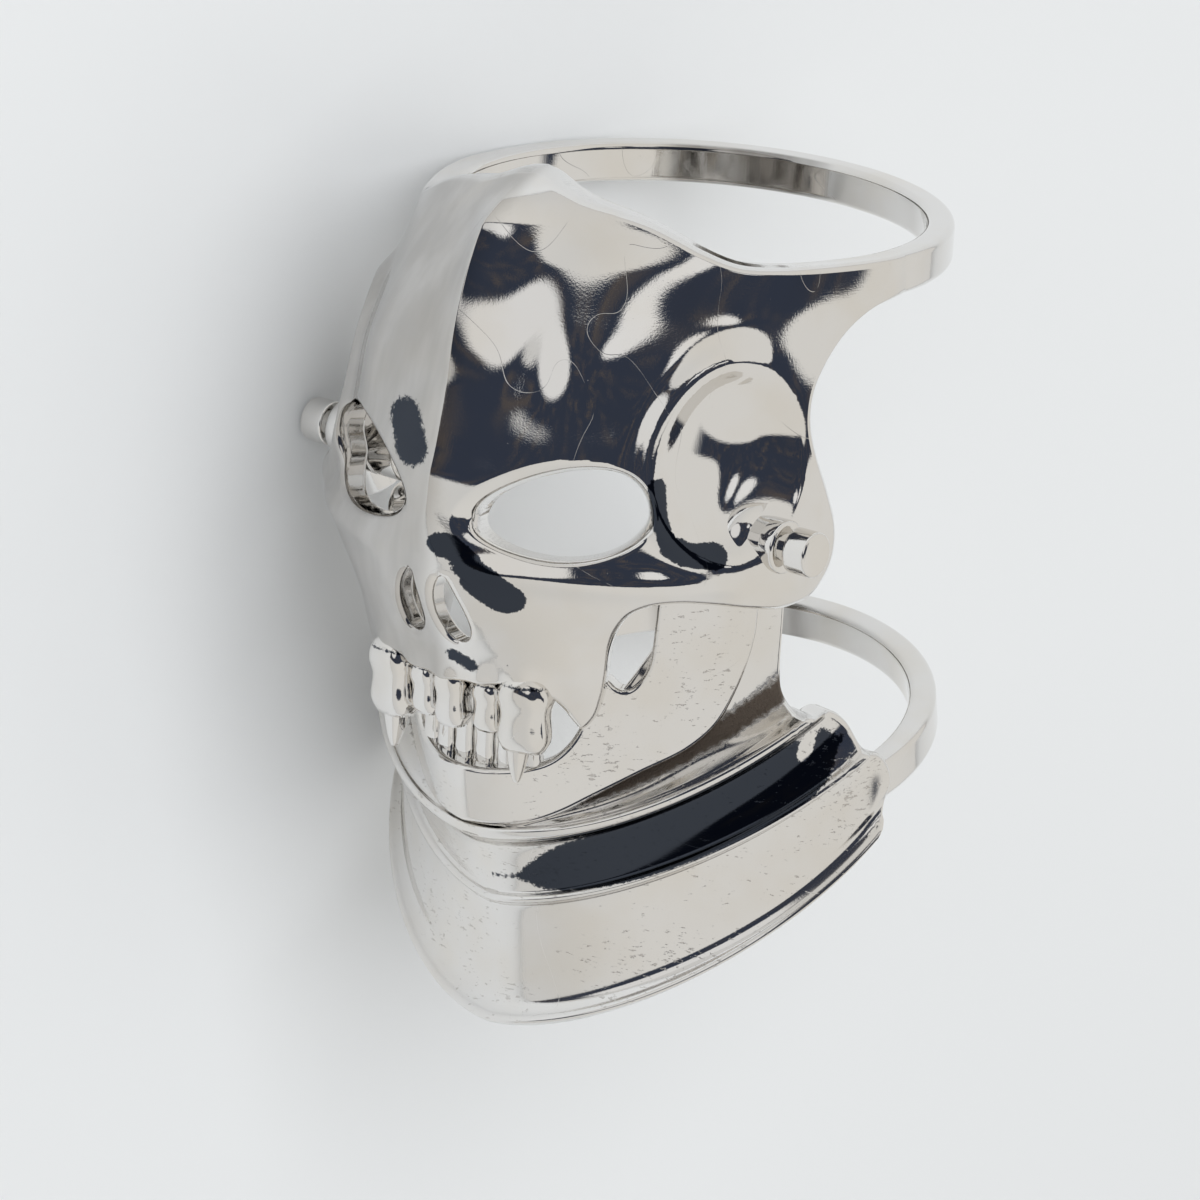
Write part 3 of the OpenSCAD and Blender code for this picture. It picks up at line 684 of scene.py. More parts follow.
def add_plate(casting, loops, surface, spacing, rim, shading=None):
    """Adds a curved plate with rounded rims to a casting."""
    loops, points, depth, way, pairs = plate_points(loops, spacing)
    triangles = plate_triangles(loops, points, pairs)
    u, v = points[:, 0], points[:, 1]
    outer, inner = surface(u, v)
    through = inner - outer
    wall = np.linalg.norm(through, axis=1)
    through /= wall[:, None]
    radius = np.minimum(rim, wall * RIM_LIMIT)
    lean = np.clip(1 - depth / radius, 0, 1)
    drop = (radius * (1 - np.sqrt(1 - lean ** 2)))[:, None] * through
    skins, normals = [], []
    for which, sign, skin in ((0, 1, outer + drop), (1, -1, inner - drop)):
        tu, tv = tangents(surface, u, v, which)
        n = unit(np.cross(tu, tv)) * sign
        e = way[:, :1] * tu + way[:, 1:] * tv
        e = unit(e - (e * n).sum(1, keepdims=True) * n)
        skins.append(skin)
        normals.append(n * np.sqrt(1 - lean ** 2)[:, None] + e * lean[:, None])
    count = len(points)
    faces = [tuple(f) for f in triangles] + [tuple(f + count) for f in triangles[:, ::-1]]
    sides = {(p, q): None for a, b, c in triangles for p, q in ((a, b), (b, c), (c, a))}
    faces += [(q, p, p + count, q + count) for p, q in sides if (q, p) not in sides]
    shades = None
    if shading is not None:
        outside = shading(u, v)
        shades = np.vstack([outside, outside * INSIDE_SHADES])
    casting.add(np.vstack(skins), faces, np.vstack(normals), shades)


def add_grid(casting, rows, closed_rows=False, shades=None):
    """Adds a tube of rings: rows of points, each ring closed, its ends capped or joined."""
    rows = np.asarray(rows, float)
    m, n = rows.shape[:2]
    faces = []
    for i in range(m if closed_rows else m - 1):
        j = (i + 1) % m
        faces += [(i * n + k, i * n + (k + 1) % n, j * n + (k + 1) % n, j * n + k) for k in range(n)]
    points = rows.reshape(-1, 3)
    if not closed_rows:
        faces += [((k + 1) % n, k, m * n) for k in range(n)]
        faces += [((m - 1) * n + k, (m - 1) * n + (k + 1) % n, m * n + 1) for k in range(n)]
        points = np.vstack([points, rows[0].mean(0), rows[-1].mean(0)])
    a, b, c = (points[k] for k in faces[0][:3])
    if np.dot(np.cross(b - a, c - a), a - rows[0].mean(0)) < 0:
        faces = [f[::-1] for f in faces]
    casting.add(points, faces, shades=shades)


def rounded_box(x0, x1, y0, y1, radius, corner=5):
    """Outline of a rectangle with rounded corners, turning left."""
    out = []
    for cx, cy, start in ((x1 - radius, y1 - radius, 0), (x0 + radius, y1 - radius, 90),
                          (x0 + radius, y0 + radius, 180), (x1 - radius, y0 + radius, 270)):
        for t in np.linspace(0, 90, corner + 1):
            c, s = cos_sin(start + t)
            out.append((cx + radius * c, cy + radius * s))
    return np.array(out)


def add_band(casting, radius, tilt=0.0, shift=(0, 0, 0), steps=256):
    """Adds a finger band: a flat strip with rounded edges swept round the finger."""
    profile = rounded_box(FINGER_R, FINGER_R + BAND_T, -BAND_H, 0, radius)
    c, s = cos_sin(tilt)
    rows = []
    for k in range(steps):
        w = 2 * math.pi * k / steps
        ring = np.stack([profile[:, 0] * math.cos(w), profile[:, 0] * math.sin(w), profile[:, 1]], 1)
        ring = np.stack([ring[:, 0], ring[:, 1] * c - ring[:, 2] * s, ring[:, 1] * s + ring[:, 2] * c], 1)
        rows.append(ring + shift)
    # Painted shade on the inner face of the band's back
    middle, half, edge, strength = BAND_SHADE
    away = (np.arange(steps) * 360 / steps - middle + 180) % 360 - 180
    shaded = strength * soft((half - np.abs(away)) / edge)
    inner = profile[:, 0] < FINGER_R + radius * 0.5
    shades = np.zeros((steps * len(profile), 3))
    shades[:, 2] = (shaded[:, None] * inner[None]).ravel()
    add_grid(casting, rows, closed_rows=True, shades=shades)


def add_turned(casting, profile, side=1, sides=48):
    """Adds a turned piece on the hinge axis; the profile gives distance from the middle of the
    ring and radius."""
    t = full_turn(sides)
    rows = [np.stack([np.full(sides, side * x), r * np.cos(t) - HINGE_FRONT, r * np.sin(t) - HINGE_DOWN], 1)
            for x, r in profile]
    add_grid(casting, rows)


def add_tooth(casting, tooth, shape, sides, rows=18, block=0.7):
    """Adds one tooth: a rounded block swept down from its root."""
    a, top, low, width, front, depth = tooth
    t = full_turn(sides)
    x0 = np.sign(np.cos(t)) * np.abs(np.cos(t)) ** block
    y0 = np.sign(np.sin(t)) * np.abs(np.sin(t)) ** block
    c, s = cos_sin(a)
    rings = []
    for share in np.linspace(0, 1, rows):
        w, d = column(shape, 1, share), column(shape, 2, share)
        x, y = width / 2 * w * x0, depth / 2 * d * y0 - front + depth / 2
        rings.append(np.stack([x * c - y * s, x * s + y * c, np.full(sides, top + (low - top) * share)], 1))
    # Painted dark reflection near the root
    middle, fade, strength = ROOT_REFLECTION
    dark = strength - np.abs(np.linspace(0, 1, rows) - middle) / fade
    shades = np.zeros((rows * sides + 2, 3))
    shades[:rows * sides, 1] = np.repeat(np.clip(dark, 0, 1), sides)
    add_grid(casting, rings, shades=shades)


# Materials

class Nodes:
    """Adds nodes to a tree and joins them."""

    def __init__(self, tree):
        self.tree = tree

    def add(self, kind, inputs=None, **settings):
        """One node, with its settings and its inputs as values or as other nodes' outputs."""
        made = self.tree.nodes.new(kind)
        for name, value in settings.items():
            setattr(made, name, value)
        for key, value in (inputs or {}).items():
            if isinstance(value, bpy.types.NodeSocket):
                self.join(value, made, key)
            else:
                made.inputs[key].default_value = value
        return made

    def join(self, value, node, socket):
        """Joins a result to an input of a node."""
        self.tree.links.new(value, node.inputs[socket])

    def math(self, operation, a, b=0.0, clamp=False):
        """Result of one sum."""
        return self.add("ShaderNodeMath", {0: a, 1: b}, operation=operation, use_clamp=clamp).outputs[0]

    def noise(self, vector, scale, detail=2.0, roughness=0.5, distortion=0.0):
        """Value of a noise."""
        return self.add("ShaderNodeTexNoise", {"Vector": vector, "Scale": scale, "Detail": detail,
                                               "Roughness": roughness, "Distortion": distortion}).outputs[0]

    def ramp(self, value, low, high, out_low=0.0, out_high=1.0):
        """Soft step of a value between two limits."""
        return self.add("ShaderNodeMapRange", {"Value": value, "From Min": low, "From Max": high,
                                               "To Min": out_low, "To Max": out_high},
                        interpolation_type="SMOOTHSTEP", clamp=True).outputs[0]

    def scaled(self, vector, scale):
        """Coordinates made larger or smaller."""
        return self.add("ShaderNodeVectorMath", {0: vector, "Scale": scale}, operation="SCALE").outputs[0]

    def along(self, vector, way):
        """How far coordinates lie along a direction."""
        return self.add("ShaderNodeVectorMath", {0: vector, 1: way}, operation="DOT_PRODUCT").outputs["Value"]

    def stretched(self, vector, turn, scale):
        """Coordinates turned and stretched."""
        return self.add("ShaderNodeMapping", {"Vector": vector, "Rotation": turn, "Scale": scale}).outputs[0]

    def mixed(self, factor, a, b):
        """Mix of two colours."""
        return self.add("ShaderNodeMix", {0: factor, 6: a, 7: b}, data_type="RGBA").outputs[2]


def group(name, ins, outs):
    """New node group with named sockets; returns the group, its nodes, inputs and output node."""
    tree = bpy.data.node_groups.new(name, "ShaderNodeTree")
    for socket, kind, default in ins:
        made = tree.interface.new_socket(socket, in_out="INPUT", socket_type=kind)
        if default is not None:
            made.default_value = default
    for socket, kind in outs:
        tree.interface.new_socket(socket, in_out="OUTPUT", socket_type=kind)
    nodes = Nodes(tree)
    source = nodes.add("NodeGroupInput").outputs
    return tree, nodes, source, nodes.add("NodeGroupOutput")


# Directions of the polishing scratches: how the coordinates turn, and how they stretch
SCRATCH_WAYS = [
    ((0.3, 0.1, 0.5), (0.5, 14, 14)), ((1.1, 0.4, -0.8), (16, 0.6, 16)), ((-0.6, 0.9, 0.2), (13, 13, 0.5))]
# A hairline runs where a wide noise passes this value, within this distance of it
HAIRLINE = (0.52, 0.0012)
# Casting marks show where a fine noise is above this level; how far the clusters and the amount
# lower it; how soft the marks are
MARK_LEVEL = (0.8, 0.35, 0.05)
# How far noise breaks up the edges of the painted dark reflections and of the tarnish
SPECKLE, BREAK_UP = 0.8, 0.9


def scratches_group():
    """Fine polishing scratches in three directions, and a few long hairlines."""
    tree, n, source, out = group(
        "Fine scratches", [("Vector", "NodeSocketVector", None), ("Scale", "NodeSocketFloat", 1.0)],
        [("Height", "NodeSocketFloat"), ("Hairline", "NodeSocketFloat")])
    at = n.scaled(source["Vector"], source["Scale"])
    total = 0.0
    for turn, stretch in SCRATCH_WAYS:
        total = n.math("ADD", total, n.noise(n.stretched(at, turn, stretch), 1.0, 2.0, 0.6))
    n.join(n.math("MULTIPLY", total, 1 / len(SCRATCH_WAYS)), out, "Height")
    wander = n.noise(n.stretched(at, (0.2, 0.7, 0.4), (0.16, 0.22, 0.12)), 1.0, 1.0, 0.4, 0.3)
    middle, half = HAIRLINE
    near = n.math("ABSOLUTE", n.math("SUBTRACT", wander, middle))
    n.join(n.ramp(near, 0.0, half, 1.0, 0.0), out, "Hairline")
    return tree


def marks_group():
    """Small casting marks: short dark dashes in loose clusters."""
    tree, n, source, out = group(
        "Casting marks", [("Vector", "NodeSocketVector", None), ("Amount", "NodeSocketFloat", 0.5)],
        [("Mask", "NodeSocketFloat")])
    dashes = n.noise(n.stretched(source["Vector"], (0, 0, 0), (6.5, 2.2, 2.2)), 1.0, 3.0, 0.7)
    clusters = n.noise(source["Vector"], 0.35, 2.0, 0.5)
    level, lowered, softness = MARK_LEVEL
    clusters = n.math("MULTIPLY", source["Amount"], n.math("MULTIPLY", clusters, lowered))
    low = n.math("SUBTRACT", level, clusters)
    n.join(n.ramp(n.math("SUBTRACT", dashes, low), 0.0, softness), out, "Mask")
    return tree


def tarnish_and_shade_group():
    """Darkening that gathers in recesses, with a broken edge; also the masks of the painted dark reflections
    and of the painted shade.
    """
    tree, n, source, out = group(
        "Recess tarnish and painted shade", [("Vector", "NodeSocketVector", None), ("Recess", "NodeSocketFloat", 0.0),
                           ("Painted_reflection_and_patina", "NodeSocketFloat", 0.0), ("Painted_shade", "NodeSocketFloat", 0.0)],
        [("Mask", "NodeSocketFloat"), ("Black", "NodeSocketFloat"), ("Grain", "NodeSocketFloat"),
         ("Painted_shade_mask", "NodeSocketFloat")])
    broken = n.noise(source["Vector"], 2.6, 6.0, 0.75)
    specks = n.noise(source["Vector"], 5.5, 5.0, 0.8)
    # Painted dark reflections and the collar's patina, with a speckled edge
    black = n.math("ADD", source["Painted_reflection_and_patina"], n.math("MULTIPLY", n.math("SUBTRACT", specks, 0.5), SPECKLE))
    n.join(n.ramp(black, 0.5, 0.6), out, "Black")
    edge = n.math("ADD", source["Recess"], n.math("MULTIPLY", n.math("SUBTRACT", broken, 0.5), BREAK_UP))
    n.join(n.ramp(edge, 0.45, 0.8), out, "Mask")
    n.join(n.noise(source["Vector"], 9.0, 4.0, 0.7), out, "Grain")
    # Painted shade, in soft drifts
    drift = n.noise(n.stretched(source["Vector"], (0, 0, 0), (0.12, 0.5, 0.5)), 1.0, 3.0, 0.55)
    n.join(n.math("MULTIPLY", source["Painted_shade"], n.ramp(drift, 0.25, 0.7, 0.6, 1.0)), out, "Painted_shade_mask")
    return tree


# Shares of red, green and blue in the warmer clouds of the silver
WARM = (0.97, 0.95, 0.915)
# How strongly the casting marks and the tarnish colour the silver
MARK_TONE, TARNISH_TONE = 0.3, 0.9
# Roughness that the clouds and the tarnish add
CLOUD_ROUGH, TARNISH_ROUGH = 0.02, 0.35
# Relief in millimetres: scratches; hairlines and casting marks, cut in; tarnish, a crust
SCRATCH_HEIGHT, HAIRLINE_DEPTH, MARK_DEPTH, CRUST_HEIGHT = 0.0025, 0.0015, 0.006, 0.12


def opaque(colour):
    """A colour with full alpha."""
    return tuple(colour) + (1,)


def silver(name, groups, finish, marks, roughness=0.0, satin=0.0):
    """Polished silver: a metal with scratches, casting marks, tarnish in its recesses, painted dark
    reflections and painted shade.
    """
    material = bpy.data.materials.new(name)
    material.use_nodes = True
    n = Nodes(material.node_tree)
    n.tree.nodes.clear()
    at = n.scaled(n.add("ShaderNodeTexCoord").outputs["Object"], 1 / MM)
    lines = n.add("ShaderNodeGroup", node_tree=groups["scratches"])
    dashes = n.add("ShaderNodeGroup", node_tree=groups["marks"])
    tarnish = n.add("ShaderNodeGroup", node_tree=groups["tarnish"])
    for effect in (lines, dashes, tarnish):
        n.join(at, effect, "Vector")
    dashes.inputs["Amount"].default_value = marks
    for shade in SHADES:
        painted = n.add("ShaderNodeAttribute", attribute_name=shade)
        n.join(painted.outputs["Fac"], tarnish, shade.capitalize())
    cloud = n.noise(at, 0.22, 3.0, 0.55)
    colours = (finish.silver, finish.painted_shade, finish.tarnish, finish.painted_reflection_and_patina)
    bright, painted_shade, brown, black = (opaque(c) for c in colours)
    warm = opaque(c * share for c, share in zip(finish.silver, WARM))
    colour = n.mixed(n.ramp(cloud, 0.4, 0.7), bright, warm)
    # Painted shade
    colour = n.mixed(tarnish.outputs["Painted_shade_mask"], colour, painted_shade)
    colour = n.mixed(n.math("MULTIPLY", dashes.outputs["Mask"], MARK_TONE), colour, brown)
    colour = n.mixed(n.math("MULTIPLY", tarnish.outputs["Mask"], TARNISH_TONE), colour, brown)
    # Painted dark reflections, and the collar's patina
    colour = n.mixed(tarnish.outputs["Black"], colour, black)
    clouded = n.math("MULTIPLY", n.ramp(cloud, 0.35, 0.75), CLOUD_ROUGH + satin)
    rough = n.math("ADD", finish.roughness + roughness, clouded)
    rough = n.math("ADD", rough, n.math("MULTIPLY", tarnish.outputs["Mask"], TARNISH_ROUGH))
    crust = n.math("MULTIPLY", tarnish.outputs["Grain"], tarnish.outputs["Mask"])
    height = n.math("SUBTRACT", n.math("MULTIPLY", lines.outputs["Height"], SCRATCH_HEIGHT),
                    n.math("MULTIPLY", lines.outputs["Hairline"], HAIRLINE_DEPTH))
    height = n.math("SUBTRACT", height, n.math("MULTIPLY", dashes.outputs["Mask"], MARK_DEPTH))
    height = n.math("ADD", height, n.math("MULTIPLY", crust, CRUST_HEIGHT))
    bump = n.add("ShaderNodeBump", {"Height": height, "Strength": 1.0, "Distance": MM})
    shader = n.add("ShaderNodeBsdfPrincipled", {"Base Color": colour, "Metallic": 1.0, "Roughness": rough,
                                                "Normal": bump.outputs[0]})
    n.join(shader.outputs[0], n.add("ShaderNodeOutputMaterial"), "Surface")
    return material


def metals():
    """The ring's finishes, made once."""
    finish = bpy.context.scene.ring_finish
    if "Polished silver" not in bpy.data.materials:
        groups = {"scratches": scratches_group(), "marks": marks_group(), "tarnish": tarnish_and_shade_group()}
        silver("Polished silver", groups, finish, marks=0.3)
        silver("Cast silver", groups, finish, marks=0.9, roughness=0.03, satin=0.06)
        silver("Turned silver", groups, finish, marks=0.2, roughness=0.02)
    return bpy.data.materials


# The stage

def direction(az, el):
    """Direction at an azimuth and an elevation in degrees."""
    (ca, sa), (ce, se) = cos_sin(az), cos_sin(el)
    return np.array([sa * ce, -ca * ce, se])


def add_camera():
    """Camera at the photograph's angle to the ring."""
    back = direction(VIEW_AZ, VIEW_EL)
    right = np.array([*cos_sin(VIEW_AZ), 0])
    up = np.cross(back, right)
    c, s = cos_sin(VIEW_ROLL)
    side = c * right + s * up
    top = -s * right + c * up
    across, down = (place - PHOTO / 2 for place in VIEW_CENTRE)
    aim = -back - side * across / VIEW_FOCAL + top * down / VIEW_FOCAL
    z = -aim / np.linalg.norm(aim)
    x = np.cross(top, z)
    x /= np.linalg.norm(x)
    y = np.cross(z, x)
    data = bpy.data.cameras.new("Camera")
    data.sensor_width = SENSOR
    data.lens = VIEW_FOCAL / PHOTO * SENSOR
    data.clip_start, data.clip_end = 0.01, 10
    camera = bpy.data.objects.new("Camera", data)
    turn = Matrix([lay_direction(v) for v in (x, y, z)]).transposed()
    camera.matrix_world = Matrix.Translation(Vector(lay(back * VIEW_DISTANCE))) @ turn.to_4x4()
    bpy.context.scene.collection.objects.link(camera)
    bpy.context.scene.camera = camera


# The light tent as the ring sees it, in standing azimuth and elevation. The tent's dark mouth,
# round the camera, has an upper and a lower edge: azimuth, elevation.
MOUTH_SPAN = (-60.0, 120.0)
MOUTH_TOP = [
    (-60, 10), (-30, 16), (-14, 19), (-7, 27), (0, 43), (8, 50), (30, 50.5), (48, 49), (60, 46), (66, 45),
    (72, 44), (78, 42), (84, 39), (90, 32), (95, 19), (99, 9), (105, 3), (110, 0), (120, -8)]
MOUTH_LOW = [
    (-60, 4), (-17, 5), (-10, 2), (-4, -2), (3, -5), (10, -7), (16, -9), (24, -12), (40, -11), (53, -8),
    (60, -4), (67, -1.5), (80, -2), (95, -6), (110, -14), (120, -22)]
LOWEST, HIGHEST = -30, 60       # elevations between which the mouth's edges lie
# Over how many degrees the mouth fades: at its top and low edges, at its start, at its end
MOUTH_FADE = (0.8, 1.5, 10, 8)
# Windows of light inside the mouth: azimuth, elevation, half width, half height, softness, light
WINDOWS = [(11, 28, 17, 20, 0.1, 0.8), (64, 38, 8, 4.8, 0.14, 0.85), (79, 29.5, 5.5, 5, 0.16, 0.85)]
WINDOW_TINT = (1, 0.995, 0.985)
# The tent toward the wearer's left and toward the table, and where one turns into the other
TENT = (0.765, 0.752, 0.722, 1)
TENT_LOW = (0.685, 0.682, 0.668, 1)
TENT_TURN = (-0.05, 0.55)
MOUTH = (0.034, 0.042, 0.064, 1)
MOUTH_BROWN = (0.095, 0.080, 0.072, 1)


def curved(n, az, points):
    """Elevation, in degrees, of a smooth curve through points of azimuth and elevation."""
    start, end = MOUTH_SPAN
    share = n.math("DIVIDE", n.math("SUBTRACT", az, start), end - start, clamp=True)
    node = n.add("ShaderNodeFloatCurve", {"Factor": 1.0, "Value": share})
    line = node.mapping.curves[0]
    places = [((a - start) / (end - start), (e - LOWEST) / (HIGHEST - LOWEST)) for a, e in points]
    line.points[0].location, line.points[-1].location = places[0], places[-1]
    for place in places[1:-1]:
        line.points.new(*place)
    node.mapping.update()
    return n.math("ADD", n.math("MULTIPLY", node.outputs[0], HIGHEST - LOWEST), LOWEST)


def tent_angles(n):
    """The direction that is looked at: its share toward the wearer's left, the direction itself,
    and its standing azimuth and elevation in degrees."""
    way = n.add("ShaderNodeTexCoord").outputs["Generated"]
    left, front, up = (n.along(way, lay_direction(v)) for v in ((1, 0, 0), (0, -1, 0), (0, 0, 1)))
    az = n.math("DEGREES", n.math("ARCTAN2", left, front))
    el = n.math("DEGREES", n.math("ARCSINE", up))
    return left, way, az, el


def window_mask(n, az, el, window):
    """Mask of a soft-edged oval window of the tent."""
    a0, e0, wide, high, softness, _ = window
    u = n.math("DIVIDE", n.math("SUBTRACT", az, a0), wide)
    v = n.math("DIVIDE", n.math("SUBTRACT", el, e0), high)
    r = n.math("SQRT", n.math("ADD", n.math("MULTIPLY", u, u), n.math("MULTIPLY", v, v)))
    return n.ramp(r, 1 - softness, 1 + softness, 1.0, 0.0)


def add_world():
    """Soft pale light tent with a dark mouth toward the camera."""
    world = bpy.data.worlds.new("Light tent")
    bpy.context.scene.world = world
    world.use_nodes = True
    n = Nodes(world.node_tree)
    n.tree.nodes.clear()
    side, way, az, el = tent_angles(n)
    top = n.math("SUBTRACT", curved(n, az, MOUTH_TOP), el)
    low = n.math("SUBTRACT", el, curved(n, az, MOUTH_LOW))
    start, end = MOUTH_SPAN
    top_fade, low_fade, start_fade, end_fade = MOUTH_FADE
    mouth = n.math("MULTIPLY", n.ramp(top, -top_fade, top_fade), n.ramp(low, -low_fade, low_fade))
    mouth = n.math("MULTIPLY", mouth, n.ramp(az, start, start + start_fade))
    mouth = n.math("MULTIPLY", mouth, n.ramp(az, end - end_fade, end, 1.0, 0.0))
    streaks = n.ramp(n.noise(n.stretched(way, (0.4, 0.2, 0.9), (3, 9, 5)), 1.6, 3.0, 0.6, 0.8), 0.5, 0.72)
    tent = n.mixed(n.ramp(side, *TENT_TURN), TENT_LOW, TENT)
    colour = n.mixed(mouth, tent, n.mixed(streaks, MOUTH, MOUTH_BROWN))
    for window in WINDOWS:
        shape = n.math("MULTIPLY", window_mask(n, az, el, window), mouth)
        colour = n.mixed(shape, colour, opaque(window[-1] * share for share in WINDOW_TINT))
    glow = n.add("ShaderNodeBackground", {"Color": colour, "Strength": 1.0})
    n.join(glow.outputs[0], n.add("ShaderNodeOutputWorld"), "Surface")


TABLE_HALF, TABLE_STEPS = 1.5, 24       # metres; squares along a side


def table_finish():
    """Matt pale surface with a faint unevenness of tone."""
    material = bpy.data.materials.new("Pale table")
    material.use_nodes = True
    n = Nodes(material.node_tree)
    shader = material.node_tree.nodes["Principled BSDF"]
    pale = bpy.context.scene.ring_finish.floor
    lighter = opaque(min(c * 1.01, 1) for c in pale)
    cloud = n.noise(n.add("ShaderNodeTexCoord").outputs["Object"], 9.0, 2.0)
    n.join(n.mixed(cloud, opaque(pale), lighter), shader, "Base Color")
    shader.inputs["Roughness"].default_value = 0.7
    shader.inputs["Specular IOR Level"].default_value = 0.2
    return material


def add_floor():
    """Large plain pale table."""
    line = np.linspace(-TABLE_HALF, TABLE_HALF, TABLE_STEPS + 1)
    points = [(x, y, 0) for y in line for x in line]
    n = TABLE_STEPS + 1
    corners = [j * n + i for j in range(TABLE_STEPS) for i in range(TABLE_STEPS)]
    mesh = bpy.data.meshes.new("floor")
    mesh.from_pydata(points, [], [(k, k + 1, k + n + 1, k + n) for k in corners])
    mesh.materials.append(table_finish())
    floor = bpy.data.objects.new("floor", mesh)
    bpy.context.scene.collection.objects.link(floor)


# Key light in the frame the ring lies in: azimuth, elevation, distance and size in metres, watts
KEY_LIGHT = (-60, 65, 0.6, 0.5, 2.1)


def add_light(name, az, el, distance, size, power):
    """Soft square light aimed at the ring."""
    data = bpy.data.lights.new(name, "AREA")
    data.shape = "SQUARE"
    data.size = size
    data.energy = power
    lamp = bpy.data.objects.new(name, data)
    way = Vector(direction(az, el))
    lamp.location = way * distance
    lamp.rotation_euler = way.to_track_quat("Z", "Y").to_euler()
    lamp.visible_glossy = False
    bpy.context.scene.collection.objects.link(lamp)


# Operators

def sizes():
    """The sizes in millimetres."""
    s = bpy.context.scene.ring_sizes
    return s.spacing / MM, s.rim / MM


class RINGS_OT_stage(bpy.types.Operator):
    """Adds the camera, the light and the table"""
    bl_idname = "rings.stage"
    bl_label = "Stage"

    def execute(self, context):
        context.scene.view_settings.view_transform = "Standard"
        add_camera()
        add_world()
        add_floor()
        add_light("Soft key", *KEY_LIGHT)
        return {"FINISHED"}


# Dark reflections painted on the mask: half width and fading edge in millimetres, strength, and a line of
# angles and heights
DARK_REFLECTIONS = [
    (0.55, 0.35, 1.0, [(3.2, -11.5), (6.3, -12.1), (9.2, -12.8)]),
    (0.72, 0.35, 1.0, [(9.2, -12.8), (12.2, -13.4)]),
    (0.3, 0.35, 1.0, [(33.4, -8.2), (34.2, -9.6), (35.5, -10.6)]),
    (0.5, 0.35, 1.0, [(36.6, -10.8), (38.5, -11.1), (43.2, -11.2)]),
    (0.95, 1.0, 0.85, [(-7.6, -6.9), (-5.0, -7.9)]),
    (0.38, 0.6, 0.85, [(2.8, -16.6), (5.6, -16.9)]),
    (0.1, 0.4, 0.8, [(11.8, -16.65), (14.6, -16.45)])]
# Painted shade on the flank of the crest on the wearer's right: from angle and over how many degrees it
# starts, to angle and over how many it ends, strength
SHADED_FLANK = (-60, 20, 3, 4, 0.62)


def mask_shading(u, v):
    """How deep in a recess a point of the mask is, how much painted dark reflection and how much painted
    shade it has.
    """
    black = np.zeros_like(u)
    # Dark reflections painted as soft strokes
    for half, edge, strength, line in DARK_REFLECTIONS:
        away = distance_to(unrolled(line), u, v)
        black = np.maximum(black, strength * np.clip(0.5 + (half - away) / edge, 0, 1))
    a = u / DEG_MM
    # Painted shade on one flank of the crest
    start, start_fade, end, end_fade, strength = SHADED_FLANK
    shaded = strength * soft((a - start) / start_fade) * soft((end - a) / end_fade)
    return np.stack([np.zeros_like(u), black, shaded], 1)


class RINGS_OT_mask(bpy.types.Operator):
    """Builds the skull mask with its upper band and rivet bosses"""
    bl_idname = "rings.mask"
    bl_label = "Skull mask"

    def execute(self, context):
        spacing, rim = sizes()
        casting = Casting()
        loops = [whole(np.vstack([flowing(MASK_EDGE), flowing(MASK_TOP)]))]
        loops += [make(side) for make in (eye_loop, nostril_loop) for side in (1, -1)]
        add_plate(casting, loops, mask_surface, spacing, rim, mask_shading)
        add_band(casting, context.scene.ring_sizes.band_round / MM)
        for side in (1, -1):
            add_turned(casting, BOSS, side)
            add_turned(casting, WASHER, side)
        casting.finish("mask_shell", metals()["Polished silver"], "mask_half", "skull_mask")
        return {"FINISHED"}


class RINGS_OT_upper_teeth(bpy.types.Operator):
    """Builds the upper teeth and the fangs"""
    bl_idname = "rings.upper_teeth"
    bl_label = "Upper teeth"

    def execute(self, context):
        casting = Casting()
        sides = context.scene.ring_sizes.tooth_sides
        for tooth in UPPER_TEETH:
            add_tooth(casting, tooth, CROWN, sides)
        for fang in FANGS:
            add_tooth(casting, fang, SPIKE, sides)
        piece = casting.finish("upper_teeth", metals()["Polished silver"], "mask_half")
        return {"FINISHED"}


class RINGS_OT_jaw(bpy.types.Operator):
    """Builds the jaw plate and the lower teeth"""
    bl_idname = "rings.jaw"
    bl_label = "Jaw and lower teeth"

    def execute(self, context):
        spacing, rim = sizes()
        casting = Casting()
        loop = whole(np.vstack([flowing(JAW_UPPER), flowing(JAWLINE)]))
        add_plate(casting, [loop], jaw_surface, spacing, rim)
        for side in (1, -1):
            add_turned(casting, PAD, side)
        casting.finish("jaw_plate", metals()["Cast silver"], "jaw_half", "jaw_collar")
        teeth = Casting()
        for tooth in LOWER_TEETH:
            add_tooth(teeth, tooth, CROWN, context.scene.ring_sizes.tooth_sides)
        teeth.finish("lower_teeth", metals()["Polished silver"], "jaw_half")
        return {"FINISHED"}


# Blackened channel between the collar's upper two beads, partly painted dark reflection and partly black
# patina: angle, upper edge and lower edge as rows of the collar's table
CHANNEL = [
    (6, 7.3, 7.5), (12, 6.5, 8.0), (18, 6.1, 8.2), (34, 5.6, 8.6), (50, 5.8, 8.7), (66, 6.0, 8.7),
    (73, 6.3, 8.3), (77, 7.0, 7.6), (79, 7.3, 7.3)]
# Pale spot left in it, a painted bright reflection, and a tarnished spot at the lower tier's end: angle, row,
# half width in degrees, half height in rows, strength
CHANNEL_SPOT = (70, 6.9, 2.2, 0.45, 1.4)
END_SPOT = (78, 10.6, 4, 0.8, 0.42)
# Speckled fringe under the channel: row, half height in rows, degrees over which it starts,
# strength
FRINGE = (8.6, 0.5, 20, 0.3)
# Tarnished shelf under the jaw: row, millimetres below it, half height in millimetres, degrees
# over which it starts
SHELF = (2, 0.2, 0.75, 14)


def spot(a, row, place):
    """Soft spot of the collar at an angle and a row."""
    a0, row0, wide, tall, strength = place
    return strength * hill((a - a0) / wide, (row - row0) / tall)


